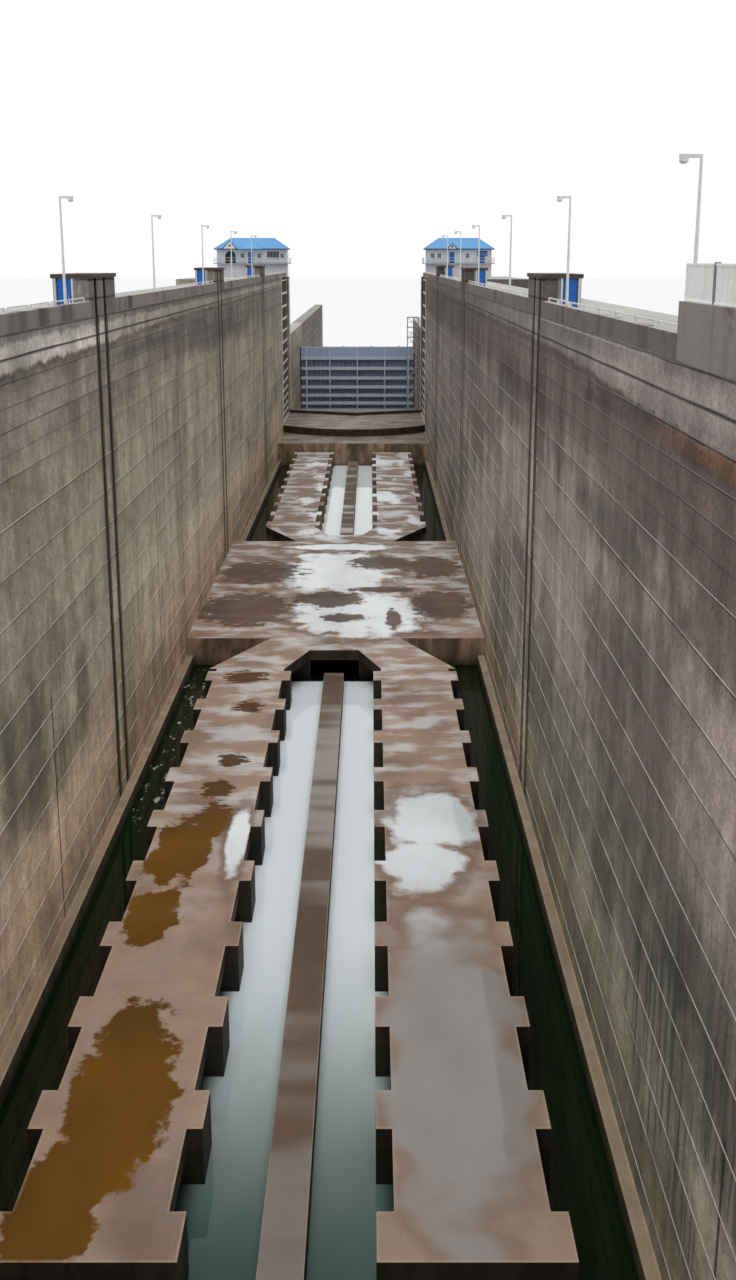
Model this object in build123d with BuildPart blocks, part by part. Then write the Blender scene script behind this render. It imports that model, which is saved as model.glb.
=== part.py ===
from build123d import *
from math import cos, radians, sin, sqrt, tan
import os

# A navigation lock at one tenth of its real size, in millimetres.
# +X points right and +Y downstream, for someone who looks downstream. +Z is up.
# The origin is the middle of the flat underside.

# Running clearance at pivots and hinges
seat_gap = 0.3

# Chamber and its walls
chamber_width = 2620.0
floor_thickness = 300.0
deck_level = 3940.0
wall_top_thickness = 800.0
wall_base_thickness = 1250.0
gate_wall_thickness = 1690.0
left_tail_wall_level = 2800.0
right_tail_wall_level = 2920.0
tail_wall_top_thickness = 250.0

# Lengths along the lock, from its upstream end to its downstream end.
# The left tail wall runs on past the tail as a guide wall.
upper_bay_length = 3200.0
entrance_to_station = 900.0
first_station_bay = 4990.0
second_station_bay = 5280.0
third_station_bay = 4790.0
station_to_lower_bay = 2240.0
lower_bay_length = 3200.0
tail_length = 4200.0
guide_wall_length = 10800.0

# Filling culverts in the chamber floor
culvert_roof_level = 1000.0
roof_thickness = 90.0
inner_roof_edge = 394.0
outer_roof_edge = 942.0
tooth_projection = 62.0
tooth_length = 200.0
port_pitch = 574.0
tooth_count = 10
pier_thickness = 160.0
roof_end_margin = 54.0
crossover_centre = 13320.0
crossover_length = 3410.0
transition_length = 740.0
transition_root = 570.0
mouth_half_width = 208.0
mouth_setback = 305.0
mouth_tunnel_length = 900.0
divider_width = 164.0
divider_level = 840.0
divider_end_gap = 120.0
ledge_width = 55.0
ledge_level = 840.0

# Floors of the gate bays
bay_floor_level = 1140.0
sweep_floor_level = 1270.0
bay_floor_gap = 80.0
riser_apex_setback = 770.0
riser_sagitta = 540.0
upper_bay_floor_length = 1200.0
sill_height = 60.0
sill_width = 120.0
sill_gap = 10.0
apron_level = 670.0

# Mitre gates
closing_angle = 71.5
leaf_thickness = 160.0
leaf_face_setback = 20.0
leaf_floor_gap = 10.0
mitre_gap = 7.0
heel_gap = 8.0
recess_back_gap = 25.0
recess_end_gap = 25.0
pivot_from_bay_end = 400.0
upper_pivot_from_bay_end = 760.0
girder_spaces = 14
lowest_girder_space = 125.0
highest_girder_space = 248.0
girder_plate = 8.0
skin_plate = 6.0
mitre_post_width = 60.0
pintle_radius = 30.0
leaf_diaphragms = 3
diaphragm_plate = 10.0

# Floating mooring bitt stations
groove_width = 60.0
groove_depth = 70.0
groove_spacing = 220.0
groove_lead = 90.0
tower_length = 590.0
tower_height = 218.0
tower_depth = 90.0

# Parapets and the rails on them
parapet_height = 85.0
parapet_thickness = 45.0
raised_parapet_length = 6010.0
raised_parapet_height = 190.0
guard_panel_height = 110.0
guard_panel_length = 290.0
guard_panel_gap = 30.0
guard_panel_thickness = 6.0
guard_post_width = 10.0
rail_frame_length = 310.0
rail_frame_gap = 40.0
rail_frame_height = 26.0
rail_bar = 7.0

# Service rooms behind the bitt towers
room_inside_width = 114.0
room_wall = 20.0
room_roof_thickness = 22.0
room_roof_overhang = 10.0
door_width = 90.0
door_thickness = 6.0
door_gap = 5.5
door_threshold = 6.0
hinge_length = 16.0
hinge_inset = 30.0

# Control houses on the lower gate bay, where a place is a distance from a house's chamber end
house_front_offset = 2500.0
left_house_setback = 5.0
right_house_setback = 70.0
left_house_width = 1320.0
right_house_width = 1240.0
house_length = 480.0
house_wall = 25.0
lower_storey_height = 245.0
deck_thickness = 15.0
deck_overhang = 60.0
eaves_height = 260.0
roof_rise = 200.0
eaves_overhang = 40.0
eaves_thickness = 12.0
ridge_cap_width = 8.0
window_width = 65.0
window_height = 75.0
window_sill_height = 105.0
left_window_places = (70.0, 510.0, 830.0)
right_window_places = (110.0, 240.0, 780.0)
control_window_place = 245.0
control_window_width = 230.0
control_window_height = 115.0
end_window_spacing = 220.0
pane_thickness = 6.0
house_door_width = 95.0
house_door_height = 210.0
left_door_place = 675.0
right_door_places = (480.0, 1060.0)
porch_place = 1060.0
porch_width = 200.0
porch_side_height = 130.0
hip_width = 480.0
hip_projection = 60.0
left_gable_width = 290.0
right_gable_width = 200.0
gable_slope = 1.05
gable_projection = 70.0
awning_width = 190.0
awning_drop = 85.0
awning_projection = 55.0
awning_thickness = 8.0
awning_head_gap = 30.0
railing_height = 105.0
railing_post_spacing = 150.0
railing_bar = 6.0
railing_corner_gap = 0.5

# Light poles
pole_clearance = 130.0
pole_setback = 120.0
pole_height = 670.0
pole_base_radius = 9.0
pole_top_radius = 5.0
lamp_arm = 60.0
lamp_radius = 16.0
lamp_height = 12.0

# Maintenance bulkhead across the tail
bulkhead_from_end = 1100.0
bulkhead_height = 1640.0
bulkhead_depth = 130.0
bulkhead_skin = 12.0
bulkhead_web = 10.0
bulkhead_flange = 75.0
bulkhead_flange_depth = 12.0
bulkhead_first_girder = 185.0
bulkhead_girder_spaces = 6
bulkhead_lowest_space = 165.0
bulkhead_highest_space = 235.0
stiffener_width = 14.0
stiffener_pitch = 630.0
stiffener_pairs = 1
end_post_width = 40.0
end_post_inset = 140.0

# Scaffold tower in the corner of the tail
scaffold_side = 230.0
scaffold_lifts = 12
scaffold_lifts_to_wall = 11
scaffold_bar = 10.0
scaffold_wall_gap = 30.0
scaffold_gate_wall_gap = 300.0
scaffold_board = 6.0
scaffold_landing_width = 58.0
stair_width = 80.0
gangway_bearing = 60.0
gangway_thickness = 10.0

# Steel guards on the corners of the gate recesses
corner_guard_width = 30.0
corner_guard_thickness = 6.0
corner_guard_rise = 40.0
end_post_rise = 490.0

overall_length = (
    upper_bay_length
    + entrance_to_station
    + first_station_bay
    + second_station_bay
    + third_station_bay
    + station_to_lower_bay
    + lower_bay_length
    + tail_length
    + guide_wall_length
)
upstream_end = -overall_length / 2
guide_wall_end = overall_length / 2
downstream_end = guide_wall_end - guide_wall_length
chamber_start = upstream_end + upper_bay_length
station_1 = chamber_start + entrance_to_station
station_2 = station_1 + first_station_bay
station_3 = station_2 + second_station_bay
station_4 = station_3 + third_station_bay
lower_bay_start = station_4 + station_to_lower_bay
tail_start = lower_bay_start + lower_bay_length
stations = (station_1, station_2, station_3, station_4)

half_chamber = chamber_width / 2
outer_face = half_chamber + gate_wall_thickness
tower_start_offset = groove_spacing / 2 + groove_lead
half_leaf = leaf_thickness / 2
pivot_x = half_chamber + leaf_face_setback + half_leaf
recess_back = pivot_x + half_leaf + recess_back_gap
leaf_bottom = sweep_floor_level + leaf_floor_gap
lower_pivot_y = tail_start - pivot_from_bay_end
upper_pivot_y = chamber_start - upper_pivot_from_bay_end

# Reach of a leaf from its pivot to the middle of the mitre face, at the closing angle
leaf_reach = (pivot_x - mitre_gap / 2) / sin(radians(closing_angle))
mitre_skew = half_leaf / tan(radians(closing_angle))
recess_length = sqrt((leaf_reach + mitre_skew) ** 2 + half_leaf**2) + recess_end_gap
heel_clear = half_leaf + heel_gap

crossover_y = upstream_end + crossover_centre
half_crossover = crossover_length / 2
roof_start = half_crossover + transition_length
roof_length = (tooth_count - 1) * port_pitch + tooth_length + roof_end_margin
roof_end = roof_start + roof_length
lower_floor_start = crossover_y + roof_end + bay_floor_gap
upper_floor_end = chamber_start + upper_bay_floor_length
house_y = lower_bay_start + house_front_offset

os.makedirs("parts", exist_ok=True)


def export_piece(piece, name):
    """Label a finished piece and write it to its own file."""
    piece.part.label = name
    export_step(piece.part, f"parts/{name}.step")


def block(x_span, y_span, z_span, mode=Mode.ADD):
    """Add or cut a plain block between its three pairs of faces."""
    centre = ((x_span[0] + x_span[1]) / 2, (y_span[0] + y_span[1]) / 2, (z_span[0] + z_span[1]) / 2)
    with Locations(centre):
        Box(
            abs(x_span[1] - x_span[0]),
            abs(y_span[1] - y_span[0]),
            abs(z_span[1] - z_span[0]),
            mode=mode,
        )


def side_span(side, near, far):
    """Give the X span of something between two distances from the centre line."""
    return (side * near, side * far)


def chamber_floor():
    """Make the floor slab between the walls, over the whole length."""
    with BuildPart() as floor:
        block((-half_chamber, half_chamber), (upstream_end, downstream_end), (0, floor_thickness))
    return floor


def chamber_wall(side):
    """Make one side's wall between the gate bays, with two grooves at each bitt station."""
    face = side * half_chamber
    grooves = [
        (face + side * groove_depth / 2, station + way * groove_spacing / 2, deck_level / 2 + divider_level / 2)
        for station in stations
        for way in (-1, 1)
    ]
    with BuildPart() as wall:
        with BuildSketch(Plane.XZ.offset(-chamber_start)):
            Polygon(
                (face, 0),
                (side * (half_chamber + wall_base_thickness), 0),
                (side * (half_chamber + wall_top_thickness), deck_level),
                (face, deck_level),
                align=None,
            )
        extrude(amount=chamber_start - lower_bay_start)
        with Locations(*grooves):
            Box(groove_depth, groove_width, deck_level - divider_level, mode=Mode.SUBTRACT)
    return wall


def bitt_towers():
    """Make the towers over the bitt grooves of both walls."""
    middle = tower_length / 2 - tower_start_offset
    level = deck_level + tower_height / 2
    tower_x = half_chamber + tower_depth / 2
    groove_x = half_chamber + groove_depth / 2
    towers = [(side * tower_x, station + middle, level) for side in (-1, 1) for station in stations]
    grooves = [
        (side * groove_x, station + way * groove_spacing / 2, level)
        for side in (-1, 1)
        for station in stations
        for way in (-1, 1)
    ]
    with BuildPart() as row:
        with Locations(*towers):
            Box(tower_depth, tower_length, tower_height)
        with Locations(*grooves):
            Box(groove_depth, groove_width, tower_height, mode=Mode.SUBTRACT)
    return row


gate_bays = (
    (upstream_end, chamber_start, upper_pivot_y),
    (lower_bay_start, tail_start, lower_pivot_y),
)


def gate_backing_walls():
    """Make the mass of the gate walls behind the leaf recesses."""
    with BuildPart() as backing:
        for bay_start, bay_end, pivot_y in gate_bays:
            for side in (-1, 1):
                block(side_span(side, recess_back, outer_face), (bay_start, bay_end), (0, deck_level))
    return backing


def gate_face_walls():
    """Make the faces of the gate walls, upstream and downstream of the recesses."""
    with BuildPart() as faces:
        for bay_start, bay_end, pivot_y in gate_bays:
            for side in (-1, 1):
                span = side_span(side, half_chamber, recess_back)
                block(span, (bay_start, pivot_y - recess_length), (0, deck_level))
                block(span, (pivot_y + heel_clear, bay_end), (0, deck_level))
    return faces


def recess_footings():
    """Make the four footings that close the gate walls under the leaf recesses."""
    with BuildPart() as footings:
        for pivot_y in (upper_pivot_y, lower_pivot_y):
            for side in (-1, 1):
                block(
                    side_span(side, half_chamber, recess_back),
                    (pivot_y - recess_length, pivot_y + heel_clear),
                    (0, sweep_floor_level),
                )
    return footings


def tail_walls():
    """Make the two lower walls downstream of the lower gates, the left one with its guide wall."""
    walls_to_make = (
        (-1, left_tail_wall_level, guide_wall_end),
        (1, right_tail_wall_level, downstream_end),
    )
    with BuildPart() as walls:
        for side, level, end in walls_to_make:
            with BuildSketch(Plane.XZ.offset(-tail_start)):
                Polygon(
                    (side * half_chamber, 0),
                    (side * (half_chamber + wall_base_thickness), 0),
                    (side * (half_chamber + tail_wall_top_thickness), level),
                    (side * half_chamber, level),
                    align=None,
                )
            extrude(amount=tail_start - end)
    return walls


def crossover_block():
    """Make the full-width block in mid-chamber, with the two culvert mouths in it."""
    with BuildPart() as crossover:
        block(
            (-half_chamber, half_chamber),
            (crossover_y - half_crossover, crossover_y + half_crossover),
            (floor_thickness, culvert_roof_level),
        )
        for way in (-1, 1):
            face = crossover_y + way * half_crossover
            block(
                (-mouth_half_width, mouth_half_width),
                (face, face - way * mouth_tunnel_length),
                (floor_thickness, culvert_roof_level - roof_thickness),
                mode=Mode.SUBTRACT,
            )
    return crossover


def transition_roofs():
    """Make the splayed roof slabs between the crossover block and the culverts."""
    with BuildPart() as roofs:
        for way in (-1, 1):
            face = crossover_y + way * half_crossover
            end = crossover_y + way * roof_start
            mouth = face + way * mouth_setback
            outer = outer_roof_edge + tooth_projection
            with BuildSketch(Plane.XY.offset(culvert_roof_level - roof_thickness)):
                Polygon(
                    (-transition_root, face),
                    (-outer, end),
                    (-inner_roof_edge, end),
                    (-mouth_half_width, mouth),
                    (mouth_half_width, mouth),
                    (inner_roof_edge, end),
                    (outer, end),
                    (transition_root, face),
                    align=None,
                )
            extrude(amount=roof_thickness)
    return roofs


def tooth_place(way, tooth):
    """Give the middle of a tooth, counted from the gate end of its culvert."""
    return crossover_y + way * (roof_end - tooth * port_pitch - tooth_length / 2)


def culvert_roofs():
    """Make the toothed roof slabs of the culverts at both ends of the chamber."""
    width = outer_roof_edge - inner_roof_edge
    middle = (outer_roof_edge + inner_roof_edge) / 2
    level = culvert_roof_level - roof_thickness / 2
    slabs = [
        (side * middle, crossover_y + way * (roof_start + roof_end) / 2, level)
        for way in (-1, 1)
        for side in (-1, 1)
    ]
    teeth = [
        (side * middle, tooth_place(way, tooth), level)
        for way in (-1, 1)
        for side in (-1, 1)
        for tooth in range(tooth_count)
    ]
    with BuildPart() as roofs:
        with Locations(*slabs):
            Box(width, roof_length, roof_thickness)
        with Locations(*teeth):
            Box(width + 2 * tooth_projection, tooth_length, roof_thickness)
    return roofs


def port_piers():
    """Make the piers under the teeth and the splayed slabs."""
    height = culvert_roof_level - roof_thickness - floor_thickness
    level = floor_thickness + height / 2
    inner = inner_roof_edge - tooth_projection + pier_thickness / 2
    outer = outer_roof_edge + tooth_projection - pier_thickness / 2
    mouth_x = (mouth_half_width + transition_root) / 2
    places = [
        (side * x, tooth_place(way, tooth), level)
        for way in (-1, 1)
        for side in (-1, 1)
        for x in (inner, outer)
        for tooth in range(tooth_count)
    ]
    mouth_piers = [
        (side * mouth_x, crossover_y + way * (half_crossover + mouth_setback / 2), level)
        for way in (-1, 1)
        for side in (-1, 1)
    ]
    with BuildPart() as piers:
        with Locations(*places):
            Box(pier_thickness, tooth_length, height)
        with Locations(*mouth_piers):
            Box(transition_root - mouth_half_width, mouth_setback, height)
    return piers


def centre_dividers():
    """Make the low walls along the middle of the two floor channels."""
    with BuildPart() as dividers:
        for way in (-1, 1):
            mouth = crossover_y + way * (half_crossover + mouth_setback + divider_end_gap)
            end = crossover_y + way * roof_end
            block((-divider_width / 2, divider_width / 2), (mouth, end), (floor_thickness, divider_level))
    return dividers


def wall_ledges():
    """Make the narrow ledges at the foot of both walls, on both sides of the block."""
    with BuildPart() as ledges:
        for side in (-1, 1):
            span = side_span(side, half_chamber - ledge_width, half_chamber)
            block(span, (upper_floor_end, crossover_y - half_crossover), (floor_thickness, ledge_level))
            block(span, (crossover_y + half_crossover, lower_floor_start), (floor_thickness, ledge_level))
    return ledges


def gate_bay_floors():
    """Make the raised floor blocks under both gate bays."""
    with BuildPart() as floors:
        for start, end in ((upstream_end, upper_floor_end), (lower_floor_start, tail_start)):
            block((-half_chamber, half_chamber), (start, end), (floor_thickness, bay_floor_level))
    return floors


def sweep_floors():
    """Make the floors that the leaves swing over, with arched risers towards the chamber."""
    floors_to_make = (
        (upper_floor_end - riser_apex_setback, upstream_end, -1),
        (lower_floor_start + riser_apex_setback, tail_start, 1),
    )
    with BuildPart() as floors:
        for apex_y, far_y, way in floors_to_make:
            side_y = apex_y + way * riser_sagitta
            with BuildSketch(Plane.XY.offset(bay_floor_level)):
                with BuildLine():
                    ThreePointArc((-half_chamber, side_y), (0, apex_y), (half_chamber, side_y))
                    Polyline(
                        (half_chamber, side_y),
                        (half_chamber, far_y),
                        (-half_chamber, far_y),
                        (-half_chamber, side_y),
                    )
                make_face()
            extrude(amount=sweep_floor_level - bay_floor_level)
    return floors


def tail_apron():
    """Make the deeper floor that the bulkhead stands on."""
    with BuildPart() as apron:
        block((-half_chamber, half_chamber), (tail_start, downstream_end), (floor_thickness, apron_level))
    return apron


def gate_sills():
    """Make the raised chevrons that the closed leaves stand against."""
    slope = 1 / tan(radians(closing_angle))
    offset = (half_leaf + sill_gap) / sin(radians(closing_angle))
    with BuildPart() as sills:
        for pivot_y in (upper_pivot_y, lower_pivot_y):
            side_y = pivot_y - (pivot_x - half_chamber) * slope + offset
            apex_y = pivot_y - pivot_x * slope + offset
            with BuildSketch(Plane.XY.offset(sweep_floor_level)):
                Polygon(
                    (-half_chamber, side_y),
                    (0, apex_y),
                    (half_chamber, side_y),
                    (half_chamber, side_y + sill_width),
                    (0, apex_y + sill_width),
                    (-half_chamber, side_y + sill_width),
                    align=None,
                )
            extrude(amount=sill_height)
    return sills


def girder_levels(bottom, spaces, lowest, highest):
    """List girder heights whose spacing grows evenly from the lowest to the highest."""
    levels = [bottom]
    for space in range(spaces):
        levels.append(levels[-1] + lowest + (highest - lowest) * space / (spaces - 1))
    return levels


leaf_levels = girder_levels(leaf_bottom, girder_spaces, lowest_girder_space, highest_girder_space)
leaf_top = leaf_levels[-1] + girder_plate


def leaf_plane(side, pivot_y, angle):
    """Give the plane of a leaf at its pivot, turned by an angle out of its recess."""
    turn = radians(-side * angle)
    return Plane(
        origin=(side * pivot_x, pivot_y, 0), x_dir=(cos(turn), sin(turn), 0), z_dir=(0, 0, 1)
    )


def mitre_end(from_chamber_side):
    """Give how far a leaf reaches at a distance behind its chamber face."""
    return -(leaf_reach - mitre_skew) - from_chamber_side / tan(radians(closing_angle))


def leaf_frame(side, pivot_y, angle):
    """Make a leaf's heel post, mitre post, girders and diaphragms."""
    plane = leaf_plane(side, pivot_y, angle)
    face = -side * half_leaf
    back = side * (half_leaf - skin_plate)
    post_start = mitre_end(0) + mitre_post_width
    with BuildPart(plane) as frame:
        with BuildSketch(plane.offset(leaf_bottom)):
            Circle(half_leaf)
            Rectangle(leaf_thickness, half_leaf, align=(Align.CENTER, Align.MAX))
            Polygon(
                (face, post_start),
                (face, mitre_end(0)),
                (back, mitre_end(leaf_thickness - skin_plate)),
                (back, post_start),
                align=None,
            )
        extrude(amount=leaf_top - leaf_bottom)
        with BuildSketch(plane.offset(sweep_floor_level + seat_gap)):
            Circle(pintle_radius)
        extrude(amount=leaf_floor_gap - seat_gap)
        middle_x = (face + back) / 2
        middle_y = (post_start - half_leaf) / 2
        with Locations(*[(middle_x, middle_y, level + girder_plate / 2) for level in leaf_levels]):
            Box(leaf_thickness - skin_plate, -half_leaf - post_start, girder_plate)
        bay = (-half_leaf - post_start) / (leaf_diaphragms + 1)
        places = [-half_leaf - (index + 1) * bay for index in range(leaf_diaphragms)]
        with Locations(*[(middle_x, place, (leaf_bottom + leaf_top) / 2) for place in places]):
            Box(leaf_thickness - skin_plate, diaphragm_plate, leaf_top - leaf_bottom)
    return frame


def leaf_skin(side, pivot_y, angle):
    """Make the skin plate on the upstream face of a leaf."""
    plane = leaf_plane(side, pivot_y, angle)
    back = side * (half_leaf - skin_plate)
    outer = side * half_leaf
    with BuildPart(plane) as skin:
        with BuildSketch(plane.offset(leaf_bottom)):
            Polygon(
                (back, -half_leaf),
                (back, mitre_end(leaf_thickness - skin_plate)),
                (outer, mitre_end(leaf_thickness)),
                (outer, -half_leaf),
                align=None,
            )
        extrude(amount=leaf_top - leaf_bottom)
    return skin


def upper_leaf(side):
    """Make one upper leaf, shut, with its skin on its frame."""
    with BuildPart() as leaf:
        add(leaf_frame(side, upper_pivot_y, closing_angle).part)
        add(leaf_skin(side, upper_pivot_y, closing_angle).part)
    return leaf


def parapet_breaks():
    """List where the parapets start and stop between the towers, up to the houses."""
    first = upstream_end + raised_parapet_length
    breaks = [first]
    for station in stations:
        start = station - tower_start_offset
        if start > first:
            breaks.append(start)
            breaks.append(start + tower_length)
    breaks.append(house_y)
    return list(zip(breaks[0::2], breaks[1::2]))


def parapets():
    """Make the parapets along both chamber edges, between the towers."""
    with BuildPart() as walls:
        for side in (-1, 1):
            for start, end in parapet_breaks():
                block(
                    side_span(side, half_chamber, half_chamber + parapet_thickness),
                    (start, end),
                    (deck_level, deck_level + parapet_height),
                )
    return walls


def raised_parapets():
    """Make the higher parapets beside the upper gates, stopped either side of the tower."""
    end = upstream_end + raised_parapet_length
    tower_start = station_1 - tower_start_offset
    with BuildPart() as walls:
        for side in (-1, 1):
            span = side_span(side, half_chamber, half_chamber + parapet_thickness)
            height = (deck_level, deck_level + raised_parapet_height)
            block(span, (upstream_end, tower_start), height)
            block(span, (tower_start + tower_length, end), height)
    return walls


def guard_panels():
    """Make the framed panels that stand on the raised parapets."""
    bottom = deck_level + raised_parapet_height
    height = guard_panel_height + guard_post_width
    end = upstream_end + raised_parapet_length
    tower_end = station_1 - tower_start_offset + tower_length
    pitch = guard_panel_length + guard_panel_gap
    count = int((end - tower_end) // pitch)
    middle = half_chamber + parapet_thickness / 2
    centres = [(end - index * pitch - guard_panel_length / 2, bottom + height / 2) for index in range(count)]
    panel_centres = [(y, bottom + guard_panel_height / 2) for y, z in centres]
    with BuildPart() as panels:
        for side in (-1, 1):
            with BuildSketch(Plane.YZ.offset(side * middle - guard_post_width / 2)):
                with Locations(*centres):
                    Rectangle(guard_panel_length, height)
                with Locations(*panel_centres):
                    Rectangle(
                        guard_panel_length - 2 * guard_post_width, guard_panel_height, mode=Mode.SUBTRACT
                    )
            extrude(amount=guard_post_width)
            with BuildSketch(Plane.YZ.offset(side * middle - guard_panel_thickness / 2)):
                with Locations(*panel_centres):
                    Rectangle(guard_panel_length - 2 * guard_post_width, guard_panel_height)
            extrude(amount=guard_panel_thickness)
    return panels


def parapet_rails():
    """Make the rows of low pipe frames on both parapets."""
    bottom = deck_level + parapet_height
    middle = half_chamber + parapet_thickness / 2
    pitch = rail_frame_length + rail_frame_gap
    places = []
    for start, end in parapet_breaks():
        count = int((end - start) // pitch)
        places += [start + (index + 1 / 2) * pitch for index in range(count)]
    with BuildPart() as rails:
        for side in (-1, 1):
            with BuildSketch(Plane.YZ.offset(side * middle - rail_bar / 2)):
                with Locations(*[(place, bottom + rail_frame_height / 2) for place in places]):
                    Rectangle(rail_frame_length, rail_frame_height)
                with Locations(*[(place, bottom + (rail_frame_height - rail_bar) / 2) for place in places]):
                    Rectangle(
                        rail_frame_length - 2 * rail_bar, rail_frame_height - rail_bar, mode=Mode.SUBTRACT
                    )
            extrude(amount=rail_bar)
    return rails


room_near = half_chamber + tower_depth
room_far = room_near + room_inside_width
room_top = deck_level + tower_height


def room_fronts():
    """Give the side and the front of every service room."""
    return [(side, station - tower_start_offset) for side in (-1, 1) for station in stations]


def room_far_walls():
    """Make the wall of every service room that faces away from the chamber."""
    level = deck_level + tower_height / 2
    middle = room_far + room_wall / 2
    places = [(side * middle, front + tower_length / 2, level) for side, front in room_fronts()]
    with BuildPart() as walls:
        with Locations(*places):
            Box(room_wall, tower_length, tower_height)
    return walls


def room_end_walls():
    """Make every service room's back wall and the post beside its doorway."""
    level = deck_level + tower_height / 2
    middle = (room_near + room_far) / 2
    post_width = room_inside_width - door_width
    back_y = tower_length - room_wall / 2
    backs = [(side * middle, front + back_y, level) for side, front in room_fronts()]
    posts = [
        (side * (room_near + post_width / 2), front + room_wall / 2, level) for side, front in room_fronts()
    ]
    with BuildPart() as walls:
        with Locations(*backs):
            Box(room_inside_width, room_wall, tower_height)
        with Locations(*posts):
            Box(post_width, room_wall, tower_height)
    return walls


def room_roofs():
    """Make the roof slab over every bitt tower and the service room behind it."""
    width = tower_depth + room_inside_width + room_wall + 2 * room_roof_overhang
    middle = half_chamber + (tower_depth + room_inside_width + room_wall) / 2
    level = room_top + room_roof_thickness / 2
    places = [(side * middle, front + tower_length / 2, level) for side, front in room_fronts()]
    with BuildPart() as roofs:
        with Locations(*places):
            Box(width, tower_length + 2 * room_roof_overhang, room_roof_thickness)
    return roofs


def door_leaf(side, front):
    """Add one service room door, hinged on the side away from the chamber."""
    block(
        side_span(side, room_far - door_width + door_gap, room_far - door_gap),
        (front, front + door_thickness),
        (deck_level + door_threshold, room_top - door_gap),
    )
    pivot = side * (room_far - door_gap)
    low = deck_level + door_threshold + hinge_inset
    high = room_top - door_gap - hinge_inset
    with Locations((pivot, front, low), (pivot, front, high)):
        Cylinder(door_gap - seat_gap, hinge_length)


def room_door(side, station):
    """Make the door of one service room."""
    with BuildPart() as door:
        door_leaf(side, station - tower_start_offset)
    return door


house_near = {-1: half_chamber + left_house_setback, 1: half_chamber + right_house_setback}
house_far = {-1: house_near[-1] + left_house_width, 1: house_near[1] + right_house_width}
front_windows = {-1: left_window_places, 1: right_window_places}
front_doors = {-1: (left_door_place,), 1: right_door_places}
house_back = house_y + house_length
house_middle_y = house_y + house_length / 2
deck_bottom = deck_level + lower_storey_height
house_floor = deck_bottom + deck_thickness
eaves_level = house_floor + eaves_height
slope_bottom = eaves_level + eaves_thickness


def storey_ring(side, bottom, height):
    """Add the four walls of a house storey as one ring."""
    levels = (bottom, bottom + height)
    block(side_span(side, house_near[side], house_far[side]), (house_y, house_back), levels)
    block(
        side_span(side, house_near[side] + house_wall, house_far[side] - house_wall),
        (house_y + house_wall, house_back - house_wall),
        levels,
        mode=Mode.SUBTRACT,
    )


def across_span(side, place, width):
    """Give the X span of an opening at a place on a house's front."""
    middle = house_near[side] + place
    return side_span(side, middle - width / 2, middle + width / 2)


def house_windows_of(side):
    """List the spans of one house's windows."""
    front = (house_y, house_y + house_wall)
    back = (house_back - house_wall, house_back)
    near_wall = side_span(side, house_near[side], house_near[side] + house_wall)
    sill = house_floor + window_sill_height
    levels = (sill, sill + window_height)
    spans = [
        (across_span(side, place, window_width), wall, levels)
        for wall in (front, back)
        for place in front_windows[side]
    ]
    for way in (-1, 1):
        middle = house_middle_y + way * end_window_spacing / 2
        spans.append((near_wall, (middle - window_width / 2, middle + window_width / 2), levels))
    if side < 0:
        wide_levels = (sill, sill + control_window_height)
        spans.append((across_span(side, control_window_place, control_window_width), front, wide_levels))
    return spans


def upper_doors_of(side):
    """List the spans of one house's upper doorways."""
    levels = (house_floor, house_floor + house_door_height)
    front = (house_y, house_y + house_wall)
    return [(across_span(side, place, house_door_width), front, levels) for place in front_doors[side]]


def lower_door_of(side):
    """Give the spans of one house's landward doorway."""
    return (
        side_span(side, house_far[side] - house_wall, house_far[side]),
        (house_middle_y - house_door_width / 2, house_middle_y + house_door_width / 2),
        (deck_level, deck_level + house_door_height),
    )


def house_lower_storeys():
    """Make the walls of both houses' lower storeys, each with one landward doorway."""
    with BuildPart() as storeys:
        for side in (-1, 1):
            storey_ring(side, deck_level, lower_storey_height)
            block(*lower_door_of(side), mode=Mode.SUBTRACT)
    return storeys


def house_decks():
    """Make the deck slabs that carry the upper storeys of both houses."""
    with BuildPart() as decks:
        for side in (-1, 1):
            block(
                side_span(side, house_near[side] - deck_overhang, house_far[side] + deck_overhang),
                (house_y - deck_overhang, house_back + deck_overhang),
                (deck_bottom, house_floor),
            )
    return decks


def house_walls():
    """Make the walls of both upper storeys, with windows, doorways and the arched porch."""
    porch_x = -(house_near[-1] + porch_place)
    with BuildPart() as storeys:
        for side in (-1, 1):
            storey_ring(side, house_floor, eaves_height)
            for opening in house_windows_of(side) + upper_doors_of(side):
                block(*opening, mode=Mode.SUBTRACT)
        with BuildSketch(Plane.XZ.offset(-house_y)):
            with Locations((porch_x, house_floor + porch_side_height / 2)):
                Rectangle(porch_width, porch_side_height)
            with Locations((porch_x, house_floor + porch_side_height)):
                Circle(porch_width / 2)
        extrude(amount=-house_wall, mode=Mode.SUBTRACT)
    return storeys


def thin_span(span, thickness):
    """Give the middle layer of a wall's span."""
    middle = (span[0] + span[1]) / 2
    return (middle - thickness / 2, middle + thickness / 2)


def house_windows():
    """Make the panes of both houses."""
    with BuildPart() as panes:
        for side in (-1, 1):
            for x_span, y_span, z_span in house_windows_of(side):
                if abs(x_span[1] - x_span[0]) < abs(y_span[1] - y_span[0]):
                    block(thin_span(x_span, pane_thickness), y_span, z_span)
                else:
                    block(x_span, thin_span(y_span, pane_thickness), z_span)
    return panes


def fixed_doors():
    """Make the doors of both houses and of the two service rooms by the upper gates."""
    with BuildPart() as doors:
        for side in (-1, 1):
            for x_span, y_span, z_span in upper_doors_of(side):
                block(x_span, thin_span(y_span, door_thickness), z_span)
            x_span, y_span, z_span = lower_door_of(side)
            block(thin_span(x_span, door_thickness), y_span, z_span)
            door_leaf(side, station_1 - tower_start_offset)
    return doors


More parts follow.
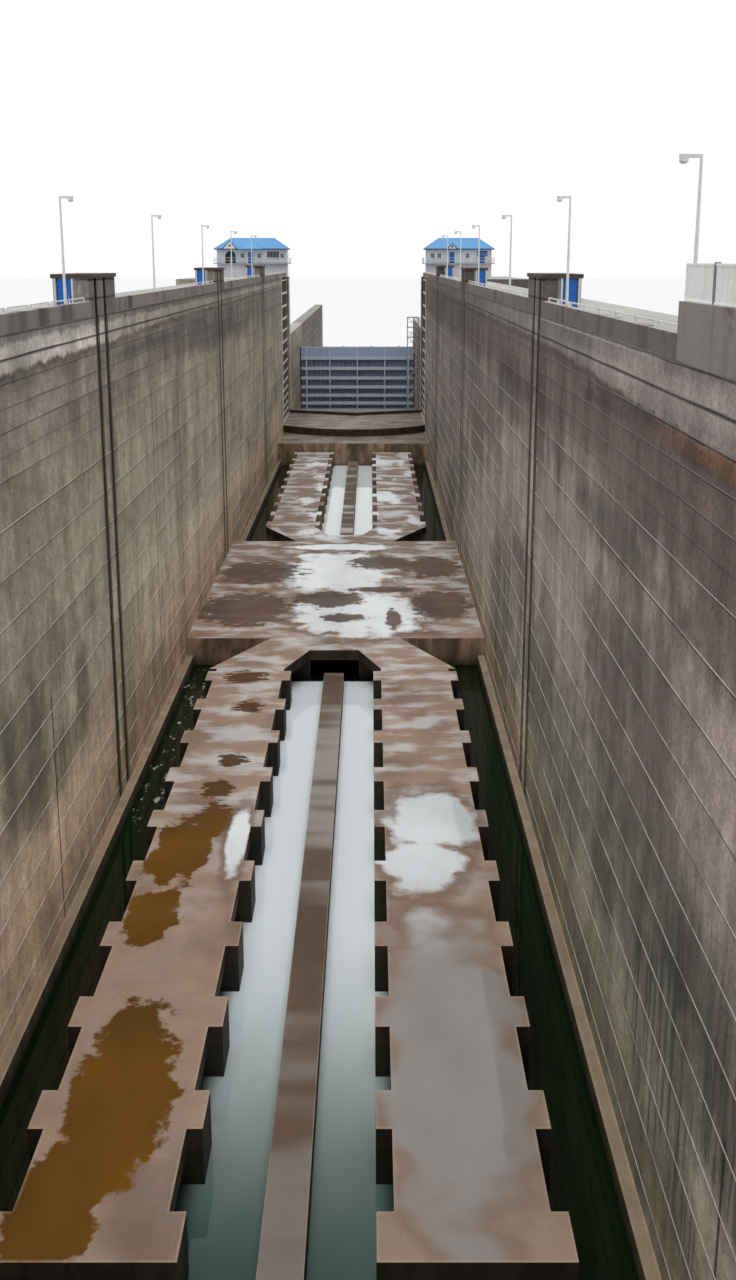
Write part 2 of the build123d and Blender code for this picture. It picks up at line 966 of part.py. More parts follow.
def house_roofs():
    """Make both hip roofs, with the left one's cross hip and the gables over two doorways."""
    depth = house_length + 2 * eaves_overhang
    gable_front = house_y - eaves_overhang - gable_projection
    gables = (
        (-(house_near[-1] + porch_place), left_gable_width),
        (house_near[1] + right_door_places[0], right_gable_width),
    )
    with BuildPart() as roofs:
        for side in (-1, 1):
            middle_x = side * (house_near[side] + house_far[side]) / 2
            width = house_far[side] - house_near[side] + 2 * eaves_overhang
            with BuildSketch(Plane.XY.offset(eaves_level)):
                with Locations((middle_x, house_middle_y)):
                    Rectangle(width, depth)
            extrude(amount=eaves_thickness)
            with BuildSketch(Plane.XY.offset(slope_bottom)):
                with Locations((middle_x, house_middle_y)):
                    Rectangle(width, depth)
            with BuildSketch(Plane.XY.offset(slope_bottom + roof_rise)):
                with Locations((middle_x, house_middle_y)):
                    Rectangle(width - depth, ridge_cap_width)
            loft()
        hip_x = -(house_near[-1] + left_door_place)
        with BuildSketch(Plane.XY.offset(eaves_level)):
            with Locations((hip_x, house_middle_y)):
                Rectangle(hip_width, depth + 2 * hip_projection)
        extrude(amount=eaves_thickness)
        with BuildSketch(Plane.XY.offset(slope_bottom)):
            with Locations((hip_x, house_middle_y)):
                Rectangle(hip_width, depth + 2 * hip_projection)
        with BuildSketch(Plane.XY.offset(slope_bottom + roof_rise)):
            with Locations((hip_x, house_middle_y)):
                Rectangle(ridge_cap_width, ridge_cap_width)
        loft()
        for middle_x, width in gables:
            with BuildSketch(Plane.XZ.offset(-gable_front)):
                Polygon(
                    (middle_x - width / 2, eaves_level),
                    (middle_x + width / 2, eaves_level),
                    (middle_x + width / 2, slope_bottom),
                    (middle_x, slope_bottom + width / 2 * gable_slope),
                    (middle_x - width / 2, slope_bottom),
                    align=None,
                )
            extrude(amount=gable_front - house_middle_y)
    return roofs


def house_awning():
    """Make the sloping canopy over the right house's landward door."""
    middle_x = house_near[1] + right_door_places[1]
    head = eaves_level - awning_head_gap
    with BuildPart() as awning:
        with BuildSketch(Plane.YZ.offset(middle_x - awning_width / 2)):
            Polygon(
                (house_y, head),
                (house_y, head - awning_thickness),
                (house_y - awning_projection, head - awning_drop - awning_thickness),
                (house_y - awning_projection, head - awning_drop),
                align=None,
            )
        extrude(amount=awning_width)
    return awning


def railing_panel(plane, length, bays):
    """Make one straight railing, with its foot at the middle of a plane."""
    clear = (length - railing_bar) / bays - railing_bar
    half_height = railing_height / 2
    with BuildPart() as panel:
        with BuildSketch(plane):
            with Locations((0, half_height)):
                Rectangle(length, railing_height)
            with Locations((0, half_height - railing_bar / 2)):
                with GridLocations(clear + railing_bar, half_height, bays, 2):
                    Rectangle(clear, half_height - railing_bar, mode=Mode.SUBTRACT)
        extrude(amount=railing_bar / 2, both=True)
    return panel


def house_railings():
    """Make the railings round the decks of both houses."""
    inset = railing_bar / 2
    depth = house_length + 2 * deck_overhang
    end_length = depth - 2 * (railing_bar + railing_corner_gap)
    along = railing_panel(Plane.YZ, end_length, int(depth // railing_post_spacing)).part
    across = {}
    for side in (-1, 1):
        width = house_far[side] - house_near[side] + 2 * deck_overhang
        across[side] = railing_panel(Plane.XZ, width, int(width // railing_post_spacing)).part
    with BuildPart() as railings:
        for side in (-1, 1):
            middle_x = side * (house_near[side] + house_far[side]) / 2
            ends_x = [side * (house_near[side] - deck_overhang + inset)]
            ends_x.append(side * (house_far[side] + deck_overhang - inset))
            fronts = [(middle_x, house_middle_y + way * (depth / 2 - inset), house_floor) for way in (-1, 1)]
            with Locations(*fronts):
                add(across[side])
            with Locations(*[(x, house_middle_y, house_floor) for x in ends_x]):
                add(along)
    return railings


def light_poles():
    """Make the tapered poles and their lamps along both walls."""
    places = [station - tower_start_offset - pole_clearance for station in stations]
    places += [(first + second) / 2 for first, second in zip(places, places[1:])]
    foot = half_chamber + pole_setback
    level = deck_level + pole_height
    with BuildPart() as poles:
        for side in (-1, 1):
            with Locations(*[(side * foot, y, deck_level + pole_height / 2) for y in places]):
                Cone(pole_base_radius, pole_top_radius, pole_height)
            with Locations(*[(side * (foot - lamp_arm / 2), y, level - lamp_height / 2) for y in places]):
                Box(lamp_arm, 2 * pole_top_radius, lamp_height)
            with Locations(*[(side * (foot - lamp_arm), y, level - lamp_height) for y in places]):
                Cylinder(lamp_radius, 2 * lamp_height)
    return poles


bulkhead_y = downstream_end - bulkhead_from_end


def bulkhead_plate():
    """Make the bulkhead's skin plate on its downstream side."""
    back = bulkhead_y + bulkhead_depth
    with BuildPart() as plate:
        block(
            (-half_chamber, half_chamber),
            (back - bulkhead_skin, back),
            (apron_level, apron_level + bulkhead_height),
        )
    return plate


def bulkhead_frame():
    """Make the bulkhead's girders, top panel, stiffeners and end posts."""
    depth = bulkhead_depth - bulkhead_skin
    middle_y = bulkhead_y + depth / 2
    face_y = bulkhead_y + bulkhead_flange_depth / 2
    middle_z = apron_level + bulkhead_height / 2
    levels = girder_levels(
        apron_level + bulkhead_first_girder,
        bulkhead_girder_spaces,
        bulkhead_lowest_space,
        bulkhead_highest_space,
    )
    post_x = half_chamber - end_post_inset
    uprights = [pair * stiffener_pitch for pair in range(-stiffener_pairs, stiffener_pairs + 1)]
    with BuildPart() as frame:
        with Locations(*[(0, middle_y, level) for level in levels]):
            Box(chamber_width, depth, bulkhead_web)
        with Locations(*[(0, face_y, level) for level in levels]):
            Box(chamber_width, bulkhead_flange_depth, bulkhead_flange)
        block(
            (-half_chamber, half_chamber),
            (bulkhead_y, bulkhead_y + bulkhead_flange_depth),
            (levels[-1], apron_level + bulkhead_height),
        )
        with Locations(*[(x, middle_y, middle_z) for x in uprights]):
            Box(stiffener_width, depth, bulkhead_height)
        with Locations((-post_x, middle_y, middle_z), (post_x, middle_y, middle_z)):
            Box(end_post_width, depth, bulkhead_height)
    return frame


def scaffold_tower():
    """Make the access tower with its frames, landings, flights and the board to the wall."""
    lift = (right_tail_wall_level - apron_level) / scaffold_lifts_to_wall
    height = scaffold_lifts * lift
    middle_x = half_chamber - scaffold_wall_gap - scaffold_side / 2
    middle_y = tail_start + scaffold_gate_wall_gap + scaffold_side / 2
    middle_z = apron_level + height / 2
    inset = (scaffold_side - scaffold_bar) / 2
    levels = [apron_level + number * lift for number in range(1, scaffold_lifts)]
    sides = [(-1) ** (scaffold_lifts_to_wall - number) for number in range(1, scaffold_lifts)]
    bars = levels + [apron_level + height - scaffold_bar / 2]
    posts = [(middle_x + x, middle_y + y, middle_z) for x in (-inset, inset) for y in (-inset, inset)]
    landing_x = (scaffold_side - scaffold_landing_width) / 2
    flight_end = scaffold_side / 2 - scaffold_landing_width
    with BuildPart() as tower:
        with Locations(*posts):
            Box(scaffold_bar, scaffold_bar, height)
        for way in (-inset, inset):
            with Locations(*[(middle_x, middle_y + way, level) for level in bars]):
                Box(scaffold_side, scaffold_bar, scaffold_bar)
            with Locations(*[(middle_x + way, middle_y, level) for level in bars]):
                Box(scaffold_bar, scaffold_side, scaffold_bar)
        with Locations(*[(middle_x + way * landing_x, middle_y, level) for way, level in zip(sides, levels)]):
            Box(scaffold_landing_width, scaffold_side, scaffold_board)
        for way, level in zip(sides, levels):
            head = middle_x + way * flight_end
            foot = middle_x - way * flight_end
            with BuildSketch(Plane.XZ.offset(-middle_y)):
                Polygon(
                    (foot, level - lift),
                    (head, level),
                    (head, level + scaffold_board),
                    (foot, level - lift + scaffold_board),
                    align=None,
                )
        extrude(amount=stair_width / 2, both=True)
        block(
            (middle_x + flight_end, half_chamber + gangway_bearing),
            (middle_y + inset - stair_width, middle_y + inset),
            (right_tail_wall_level, right_tail_wall_level + gangway_thickness),
        )
    return tower


def corner_guards():
    """Make the light steel strips on the upright corners of the lower gate recesses."""
    top = deck_level + corner_guard_rise
    guards_to_make = (
        (-1, lower_pivot_y - recess_length, top),
        (-1, tail_start, deck_level + end_post_rise),
        (1, lower_pivot_y - recess_length, top),
        (1, tail_start, top),
    )
    with BuildPart() as guards:
        for side, edge, guard_top in guards_to_make:
            block(
                side_span(side, half_chamber - corner_guard_thickness, half_chamber),
                (edge - corner_guard_width, edge),
                (sweep_floor_level, guard_top),
            )
    return guards


export_piece(chamber_floor(), "chamber_floor")
export_piece(crossover_block(), "crossover_block")
export_piece(transition_roofs(), "splayed_roof_slabs")
export_piece(culvert_roofs(), "culvert_roofs")
export_piece(port_piers(), "port_piers")
export_piece(centre_dividers(), "centre_dividers")
export_piece(wall_ledges(), "wall_ledges")
export_piece(gate_bay_floors(), "gate_bay_floors")
export_piece(sweep_floors(), "gate_sweep_floors")
export_piece(gate_sills(), "gate_sills")
export_piece(tail_apron(), "tail_apron")
export_piece(tail_walls(), "tail_and_guide_walls")
export_piece(gate_backing_walls(), "gate_backing_walls")
export_piece(gate_face_walls(), "gate_face_walls")
export_piece(recess_footings(), "recess_footings")
export_piece(bitt_towers(), "bitt_towers")
export_piece(parapets(), "parapets")
export_piece(raised_parapets(), "raised_parapets")
export_piece(guard_panels(), "guard_panels")
export_piece(parapet_rails(), "parapet_rails")
for side, hand in ((-1, "left"), (1, "right")):
    export_piece(chamber_wall(side), f"{hand}_chamber_wall")
    export_piece(upper_leaf(side), f"upper_{hand}_leaf")
    export_piece(leaf_frame(side, lower_pivot_y, 0), f"lower_{hand}_leaf_frame")
    export_piece(leaf_skin(side, lower_pivot_y, 0), f"lower_{hand}_leaf_skin")
    for number, station in enumerate(stations[1:], start=2):
        export_piece(room_door(side, station), f"{hand}_room_{number}_door")
export_piece(room_far_walls(), "service_room_far_walls")
export_piece(room_end_walls(), "service_room_end_walls")
export_piece(room_roofs(), "service_room_roofs")
export_piece(house_lower_storeys(), "control_house_lower_storeys")
export_piece(house_decks(), "control_house_decks")
export_piece(house_walls(), "control_house_walls")
export_piece(house_roofs(), "control_house_roofs")
export_piece(house_windows(), "control_house_windows")
export_piece(house_awning(), "control_house_awning")
export_piece(house_railings(), "control_house_railings")
export_piece(fixed_doors(), "fixed_doors")
export_piece(light_poles(), "light_poles")
export_piece(bulkhead_plate(), "bulkhead_plate")
export_piece(bulkhead_frame(), "bulkhead_frame")
export_piece(scaffold_tower(), "scaffold_tower")
export_piece(corner_guards(), "corner_guards")
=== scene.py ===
"""Looks of the drained navigation lock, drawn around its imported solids."""

import logging
import math
from collections.abc import Sequence
from dataclasses import dataclass, field
from enum import Enum
from typing import ClassVar

import bmesh
import bpy
from mathutils import Euler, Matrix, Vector
from mathutils.noise import noise


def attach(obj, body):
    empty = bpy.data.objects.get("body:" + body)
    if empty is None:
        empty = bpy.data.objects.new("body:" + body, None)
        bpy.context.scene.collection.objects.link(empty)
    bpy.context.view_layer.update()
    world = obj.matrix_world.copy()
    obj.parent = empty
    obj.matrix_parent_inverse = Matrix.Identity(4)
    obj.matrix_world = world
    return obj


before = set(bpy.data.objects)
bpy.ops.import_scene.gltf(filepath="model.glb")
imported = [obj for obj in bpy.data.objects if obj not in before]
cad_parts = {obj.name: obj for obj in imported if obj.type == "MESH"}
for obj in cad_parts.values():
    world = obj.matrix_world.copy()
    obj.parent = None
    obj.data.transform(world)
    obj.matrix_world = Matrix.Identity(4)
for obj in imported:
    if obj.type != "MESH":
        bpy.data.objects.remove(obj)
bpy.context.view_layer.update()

FIXED = "lock"

Point = tuple[float, float, float]
Flat = tuple[float, float]
Ramp = tuple[float, float, float, float]
Colour = tuple[float, float, float]
Socket = bpy.types.NodeSocket
Amount = float | Socket
Tint = Colour | Socket

TOP_FACING: Flat = (0.6, 0.8)
WALL_FACING: Flat = (0.8, 0.5)
CLOUD_SPAN: Flat = (0.3, 0.7)
FAR_OFF = 9.0
RIM_SAMPLES = 4
RIM_TURN: Flat = (0.995, 0.86)
STEEP = 0.9
CHAMFER_PARTS = 3
WHITE_LIGHT: Colour = (1.0, 1.0, 1.0)

log = logging.getLogger("lock")


class Hand(Enum):
    """The two sides of the lock, looking downstream."""

    LEFT = -1
    RIGHT = 1

    @property
    def side(self) -> str:
        """Gives the side's name as the pieces have it."""
        return self.name.lower()

    def span(self, first: float, second: float) -> Flat:
        """Gives two distances from the middle line as places across the lock."""
        return self.value * first, self.value * second


class Axis(Enum):
    """The direction that a section is drawn out along."""

    X = 0
    Y = 1
    Z = 2


@dataclass(frozen=True)
class Layout:
    """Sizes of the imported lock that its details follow, in metres."""

    half_chamber: float = 1.31
    deck: float = 3.94
    chamber_start: float = -16.6
    chamber_end: float = 1.6
    stations: tuple[float, ...] = (-15.7, -10.71, -5.43, -0.64)
    groove_inner: float = 0.08
    groove_outer: float = 0.14
    tower_lead: float = 0.2
    tower_length: float = 0.59
    room_far: float = 1.514
    room_top: float = 4.158
    tail_start: float = 4.8
    bulkhead: Flat = (7.9, 8.03)
    wall_end: float = 9.0
    guide_end: float = 19.8


LAYOUT = Layout()


@dataclass(frozen=True)
class Patch:
    """A puddle, bed or stain: its middle and reach in metres, from above or on a wall."""

    middle: Flat
    reach: Flat


def patches(*rows: Ramp) -> tuple[Patch, ...]:
    """Gives patches from rows of two places and two reaches."""
    return tuple(Patch(row[:2], row[2:]) for row in rows)


@dataclass(frozen=True)
class Cloud:
    """A soft random pattern: blobs in a metre, stretch along each axis, and finer layers."""

    scale: float
    stretch: Point = (1.0, 1.0, 1.0)
    seed: float = 0.0
    detail: float = 3.0
    roughness: float = 0.55


class Coat:
    """Draws one procedural material, node by node."""

    def __init__(self, name: str) -> None:
        """Starts an empty material with one Principled shader.

        Args:
            name: The material's name.
        """
        self.material = bpy.data.materials.new(name)
        self.material.use_nodes = True
        self.nodes = self.material.node_tree.nodes
        self.links = self.material.node_tree.links
        self.nodes.clear()
        output = self.nodes.new("ShaderNodeOutputMaterial")
        self.shader = self.nodes.new("ShaderNodeBsdfPrincipled")
        self.links.new(self.shader.outputs[0], output.inputs[0])
        places = self.nodes.new("ShaderNodeTexCoord")
        self.point = places.outputs["Object"]
        self.x, self.y, self.z = self.split(self.point)
        _, self.facing_y, self.facing_z = self.split(places.outputs["Normal"])

    def feed(self, socket: Socket, amount: Amount | Tint) -> None:
        """Links a socket, or sets its value.

        Args:
            socket: The input that is fed.
            amount: Another node's output, a number, or a colour or vector.
        """
        if isinstance(amount, bpy.types.NodeSocket):
            self.links.new(amount, socket)
        elif isinstance(amount, tuple) and socket.type == "RGBA":
            socket.default_value = (*amount, 1.0)
        else:
            socket.default_value = amount

    def split(self, vector: Socket) -> tuple[Socket, Socket, Socket]:
        """Gives a vector's three parts.

        Args:
            vector: The vector's socket.

        Returns:
            The sockets of its three parts.
        """
        node = self.nodes.new("ShaderNodeSeparateXYZ")
        self.links.new(vector, node.inputs[0])
        return node.outputs[0], node.outputs[1], node.outputs[2]

    def calc(self, operation: str, *amounts: Amount) -> Socket:
        """Gives the result of one sum.

        Args:
            operation: A Math node's operation.
            amounts: Its inputs, in order.

        Returns:
            The result's socket.
        """
        node = self.nodes.new("ShaderNodeMath")
        node.operation = operation
        for socket, amount in zip(node.inputs, amounts):
            self.feed(socket, amount)
        return node.outputs[0]

    def vector(self, operation: str, *amounts: Amount | Tint | None) -> bpy.types.Node:
        """Adds a sum of vectors.

        Args:
            operation: A Vector Math node's operation.
            amounts: Its inputs, in order, with None for one that stays as it is.

        Returns:
            The node.
        """
        node = self.nodes.new("ShaderNodeVectorMath")
        node.operation = operation
        for socket, amount in zip(node.inputs, amounts):
            if amount is not None:
                self.feed(socket, amount)
        return node

    def product(self, *amounts: Amount) -> Socket:
        """Gives several amounts multiplied together.

        Args:
            amounts: The amounts, two or more.

        Returns:
            The result's socket.
        """
        total = amounts[0]
        for amount in amounts[1:]:
            total = self.calc("MULTIPLY", total, amount)
        return total

    def rest(self, amount: Amount) -> Socket:
        """Gives one less an amount."""
        return self.calc("SUBTRACT", 1.0, amount)

    def place(self, scale: Point, shift: Point) -> Socket:
        """Gives the point, scaled and then shifted."""
        return self.vector("MULTIPLY_ADD", self.point, scale, shift).outputs[0]

    def clouds(self, cloud: Cloud) -> Socket:
        """Gives a soft random pattern.

        Args:
            cloud: The pattern.

        Returns:
            A socket from 0 to 1.
        """
        node = self.nodes.new("ShaderNodeTexNoise")
        self.links.new(self.place(cloud.stretch, (cloud.seed,) * 3), node.inputs["Vector"])
        node.inputs["Scale"].default_value = cloud.scale
        node.inputs["Detail"].default_value = cloud.detail
        node.inputs["Roughness"].default_value = cloud.roughness
        return node.outputs[0]

    def ease(
        self, amount: Amount, low: Amount, high: Amount, start: Amount = 0.0, end: Amount = 1.0
    ) -> Socket:
        """Turns a range of an amount into another range, with soft ends.

        Args:
            amount: What is read.
            low: Where the range starts.
            high: Where the range ends.
            start: The result up to the start.
            end: The result from the end on.

        Returns:
            The result's socket.
        """
        node = self.nodes.new("ShaderNodeMapRange")
        node.interpolation_type = "SMOOTHSTEP"
        for socket, value in zip(node.inputs, (amount, low, high, start, end)):
            self.feed(socket, value)
        return node.outputs[0]

    def vary(self, pattern: Socket, start: float, end: float) -> Socket:
        """Turns the usual span of a random pattern into another range."""
        return self.ease(pattern, *CLOUD_SPAN, start, end)

    def near(self, amount: Amount, middle: float, reach: float, soft: float) -> Socket:
        """Gives 1 where an amount lies within a reach of a middle, and 0 beyond it."""
        away = self.calc("ABSOLUTE", self.calc("SUBTRACT", amount, middle))
        return self.ease(away, reach + soft, reach)

    def layer(self, under: Tint, over: Tint, share: Amount) -> Socket:
        """Gives one colour laid over another.

        Args:
            under: The colour below.
            over: The colour on top.
            share: How much of the top one shows, from 0 to 1.

        Returns:
            The mixed colour's socket.
        """
        node = self.nodes.new("ShaderNodeMix")
        node.data_type = "RGBA"
        for index, value in ((0, share), (6, under), (7, over)):
            self.feed(node.inputs[index], value)
        return node.outputs[2]

    def between(self, first: Amount, second: Amount, share: Amount) -> Socket:
        """Gives a number between two others.

        Args:
            first: The number at a share of 0.
            second: The number at a share of 1.
            share: The share.

        Returns:
            The result's socket.
        """
        node = self.nodes.new("ShaderNodeMix")
        node.data_type = "FLOAT"
        for index, value in ((0, share), (2, first), (3, second)):
            self.feed(node.inputs[index], value)
        return node.outputs[0]

    def shade(self, tint: Tint, factor: Amount) -> Socket:
        """Gives a colour made lighter or darker by a factor."""
        return self.vector("SCALE", tint, None, None, factor).outputs[0]

    def shade_where(self, tint: Tint, factor: Amount, share: Amount) -> Socket:
        """Gives a colour shaded by a factor as far as a share says."""
        return self.shade(tint, self.between(1.0, factor, share))

    def dim(self, tint: Tint, share: Amount, factor: float) -> Socket:
        """Gives a colour shaded by a factor, softly with a share."""
        return self.shade(tint, self.ease(share, 0.0, 1.0, 1.0, factor))

    def patches(self, spots: Sequence[Patch], upright: bool = False) -> Socket:
        """Gives the distance from the nearest patch, as a share of its reach.

        Args:
            spots: The patches.
            upright: Whether they lie on a wall, in Y and Z, and not on a floor.

        Returns:
            A socket that is 1 on the outlines.
        """
        nearest: Amount = FAR_OFF
        for spot in spots:
            scale = tuple(1.0 / reach for reach in spot.reach)
            shift = tuple(-place * share for place, share in zip(spot.middle, scale))
            if upright:
                scale, shift = (0.0, *scale), (0.0, *shift)
            else:
                scale, shift = (*scale, 0.0), (*shift, 0.0)
            away = self.vector("LENGTH", self.place(scale, shift)).outputs["Value"]
            nearest = self.calc("MINIMUM", away, nearest)
        return nearest

    def rims(self, reach: float) -> Socket:
        """Finds the sharp edges.

        Args:
            reach: How far from an edge its rim goes, in metres.

        Returns:
            A socket that is 1 along edges and 0 further away.
        """
        rounded = self.nodes.new("ShaderNodeBevel")
        rounded.samples = RIM_SAMPLES
        rounded.inputs["Radius"].default_value = reach
        flat = self.nodes.new("ShaderNodeNewGeometry")
        match = self.vector("DOT_PRODUCT", rounded.outputs[0], flat.outputs["True Normal"])
        return self.ease(match.outputs["Value"], *RIM_TURN)

    def finish(
        self,
        colour: Tint,
        roughness: Amount,
        metallic: float = 0.0,
        height: Socket | None = None,
        relief: Flat = (0.002, 0.6),
        ior: Amount = 1.45,
    ) -> None:
        """Feeds the shader.

        Args:
            colour: The surface's colour.
            roughness: From 0, a mirror, to 1, matt.
            metallic: 1 for bare metal and 0 for all else.
            height: A pattern that lifts the surface, if any.
            relief: How high that pattern stands, in metres, and how strongly it shows.
            ior: The index of refraction, which sets the gloss.
        """
        inputs = self.shader.inputs
        self.feed(inputs["Base Color"], colour)
        self.feed(inputs["Roughness"], roughness)
        self.feed(inputs["Metallic"], metallic)
        self.feed(inputs["IOR"], ior)
        if height is not None:
            bump = self.nodes.new("ShaderNodeBump")
            bump.inputs["Distance"].default_value, bump.inputs["Strength"].default_value = relief
            self.links.new(height, bump.inputs["Height"])
            self.links.new(bump.outputs[0], inputs["Normal"])


@dataclass(frozen=True)
class Finish:
    """What a surface is covered with."""

    name: str
    slot: str

    def material(self) -> bpy.types.Material:
        """Gives the finish's material, drawn on first use.

        Returns:
            The material.
        """
        known = bpy.data.materials.get(self.name)
        if known is not None:
            return known
        coat = Coat(self.name)
        self.draw(coat)
        return coat.material

    def draw(self, coat: Coat) -> None:
        """Draws the finish's nodes."""
        raise NotImplementedError(self.name)


@dataclass(frozen=True)
class WallTones:
    """The colours of one side's walls, from the top down."""

    crest: Colour
    band: Colour
    body: Colour
    low: Colour
    stain: Colour
    dark_spots: tuple[Patch, ...]
    pale_spots: tuple[Patch, ...]


LEFT_TONES = WallTones(
    crest=(0.56, 0.51, 0.465),
    band=(0.25, 0.21, 0.18),
    body=(0.35, 0.305, 0.23),
    low=(0.50, 0.365, 0.25),
    stain=(0.19, 0.185, 0.11),
    dark_spots=patches(
        (-12.6, 1.95, 0.35, 0.3),
        (-11.6, 1.95, 0.14, 0.3),
        (-9.2, 3.66, 1.6, 0.04),
        (-5.6, 3.55, 2.4, 0.18),
        (-10.6, 3.0, 0.1, 0.4),
    ),
    pale_spots=patches(
        (-12.9, 3.55, 1.4, 0.12),
        (-11.3, 3.81, 0.7, 0.05),
        (-9.5, 2.0, 1.0, 0.5),
        (-7.0, 1.9, 1.6, 0.35),
        (-4.0, 1.83, 0.8, 0.3),
        (-12.8, 1.35, 1.2, 0.3),
        (-12.9, 0.93, 0.6, 0.1),
    ),
)
RIGHT_TONES = WallTones(
    crest=(0.20, 0.175, 0.165),
    band=(0.125, 0.088, 0.08),
    body=(0.33, 0.275, 0.245),
    low=(0.42, 0.36, 0.295),
    stain=(0.14, 0.145, 0.105),
    dark_spots=patches(
        (-12.95, 2.4, 0.5, 0.5),
        (-13.75, 2.65, 0.4, 0.7),
        (-13.6, 3.14, 0.4, 0.08),
        (-12.6, 3.66, 0.5, 0.035),
        (-14.1, 3.67, 0.3, 0.035),
        (-7.8, 0.98, 0.8, 0.16),
        (-13.06, 1.62, 0.2, 0.12),
        (-14.3, 3.15, 0.5, 0.12),
        (-12.8, 3.17, 0.8, 0.1),
        (-10.0, 3.3, 2.2, 0.22),
        (-7.4, 3.0, 1.6, 0.5),
        (-10.4, 2.2, 0.6, 0.3),
        (-14.3, 2.05, 0.4, 0.2),
    ),
    pale_spots=patches(
        (-14.4, 2.64, 0.5, 0.32),
        (-12.75, 2.92, 0.35, 0.1),
        (-13.4, 1.42, 1.4, 0.22),
        (-10.5, 1.25, 0.7, 0.22),
        (-13.8, 3.51, 1.1, 0.13),
        (-14.3, 3.84, 0.7, 0.06),
        (-12.3, 3.82, 1.6, 0.035),
    ),
)


@dataclass
class WallMarks:
    """The patterns and places that several of a wall's tones are drawn from."""

    broad: Socket
    blotch: Socket
    mottle: Socket
    grit: Socket
    streaks: Socket
    right: Socket
    inner: Socket
    level: Socket
    brow: Socket
    crest: Socket
    upright: Socket


@dataclass(frozen=True)
class WallConcrete(Finish):
    """Concrete cast in lifts, with a pale crest, tide marks, drips and stains."""

    ragged: Cloud = Cloud(7.0, (1.0, 1.0, 0.2), 3.0, 5.0, 0.7)
    broad: Cloud = Cloud(0.8, (1.0, 0.7, 1.2), 11.0, 5.0)
    blotch: Cloud = Cloud(3.2, (1.0, 1.0, 0.6), 41.0, 6.0, 0.65)
    mottle: Cloud = Cloud(13.0, (1.0, 1.0, 0.8), 71.0, 4.0, 0.7)
    streaks: Cloud = Cloud(4.5, (1.0, 1.0, 0.07), 5.0, 5.0, 0.6)
    drips: Cloud = Cloud(26.0, (1.0, 1.0, 0.05), 17.0, 3.0)
    grit: Cloud = Cloud(70.0, seed=2.0, detail=2.0)

    lift: float = 0.2145
    first_lift: float = 0.94
    short_lift: float = 0.107
    first_short_lift: float = 3.51
    lift_change: float = 3.4
    lift_turns: Flat = (7.3, 0.45)
    lift_shades: Flat = (0.86, 1.12)

    deck_tone: Colour = (0.40, 0.385, 0.36)
    moss: Colour = (0.07, 0.052, 0.04)
    tide: Colour = (0.42, 0.28, 0.175)
    drip: Colour = (0.055, 0.065, 0.06)
    rust: Colour = (0.36, 0.20, 0.11)
    # painted shade inside the station grooves
    slot_shade_tone: Colour = (0.022, 0.02, 0.018)
    ledge_tone: Colour = (0.40, 0.37, 0.345)

    level_sway: float = 0.12
    low_levels: Flat = (1.1, 2.1)
    tide_levels: Flat = (1.45, 1.05)
    tide_cloud: Ramp = (0.4, 0.6, 0.3, 0.85)
    stain_cloud: Flat = (0.48, 0.62)
    stain_levels: Ramp = (3.1, 1.9, 0.1, 0.7)
    stain_edge: Flat = (0.3, 0.6)
    band_levels: Flat = (3.27, 3.52)
    band_share: float = 0.85
    moss_levels: Flat = (3.73, 3.785)
    moss_cloud: Ramp = (0.4, 0.6, 0.3, 0.8)
    crest_levels: Flat = (3.785, 3.815)
    crest_fall: Ramp = (-10.9, -14.5, 0.0, 0.09)
    left_fall: Ramp = (-8.5, -10.5, 0.0, 0.03)
    left_crest: Ramp = (-9.8, -11.3, 0.25, 1.0)
    right_crest: float = 0.8
    bright_crest: Ramp = (-11.9, -13.6, 1.0, 1.6)
    brow_levels: Flat = (3.88, 3.905)
    brow_shade: float = 0.5

    wet_sway: float = 2.0
    wet_place: Point = (-11.6, 1.6, 0.8)
    wet_levels: Flat = (2.6, 1.9)
    wet_share: float = 0.6
    rust_place: Point = (3.69, 0.015, 0.03)
    rust_run: Flat = (-13.4, -14.2)
    rust_share: float = 0.75
    column_inset: float = 0.01
    column_soft: float = 0.008
    column_shade: float = 1.25
    spot_sway: float = 2.4
    spot_edge: Flat = (1.5, 0.4)
    spot_shades: Flat = (0.56, 1.42)

    blotch_shades: Flat = (0.72, 1.22)
    mottle_shade: Ramp = (0.32, 0.68, 0.8, 1.16)
    far_run: Flat = (-11.0, -4.0)
    far_shades: Flat = (0.84, 0.58)
    whole_shade: float = 1.0
    drip_edge: Flat = (0.45, 0.62)
    drip_cloud: Flat = (0.46, 0.58)
    drip_levels: Flat = (2.7, 2.0)
    drip_foot: Flat = (1.0, 1.35)
    left_drip: float = 0.6
    drip_share: float = 0.8
    streak_shade: Ramp = (0.34, 0.66, 0.78, 1.14)
    streak_levels: Ramp = (LAYOUT.deck, LAYOUT.deck - 0.2, 0.3, 1.0)
    grit_shades: Flat = (0.82, 1.14)

    # painted shadow under each lift lip, over its dark joint: its core, widths and shades
    line_core: float = 0.004
    line_widths: Flat = (0.008, 0.02)
    lip_shadow_shades: Flat = (0.4, 0.16)
    line_shadow: Ramp = (0.07, 0.0, 1.0, 0.88)
    outer_strength: float = 0.5
    ledge_place: Point = (3.924, 0.004, 0.004)
    ledge_near: Flat = (-13.7, -13.4)
    ledge_far: Flat = (-10.2, -11.2)
    ledge_cloud: Ramp = (0.35, 0.5, 0.3, 0.9)
    tie_pitch: float = 0.305
    tie_drop: float = 0.07
    tie_rim: Flat = (0.0045, 0.003)
    tie_shade: float = 0.45
    joints: tuple[Point, ...] = (
        (-1.0, -12.15, 2.1),
        (1.0, -14.74, 1.9),
        (-1.0, -9.3, 3.3),
        (-1.0, -8.2, 3.3),
    )
    joint_half: float = 0.006
    joint_soft: float = 0.008
    joint_fade: float = 0.05
    joint_shade: float = 0.2
    joint_side: Flat = (0.1, 0.2)

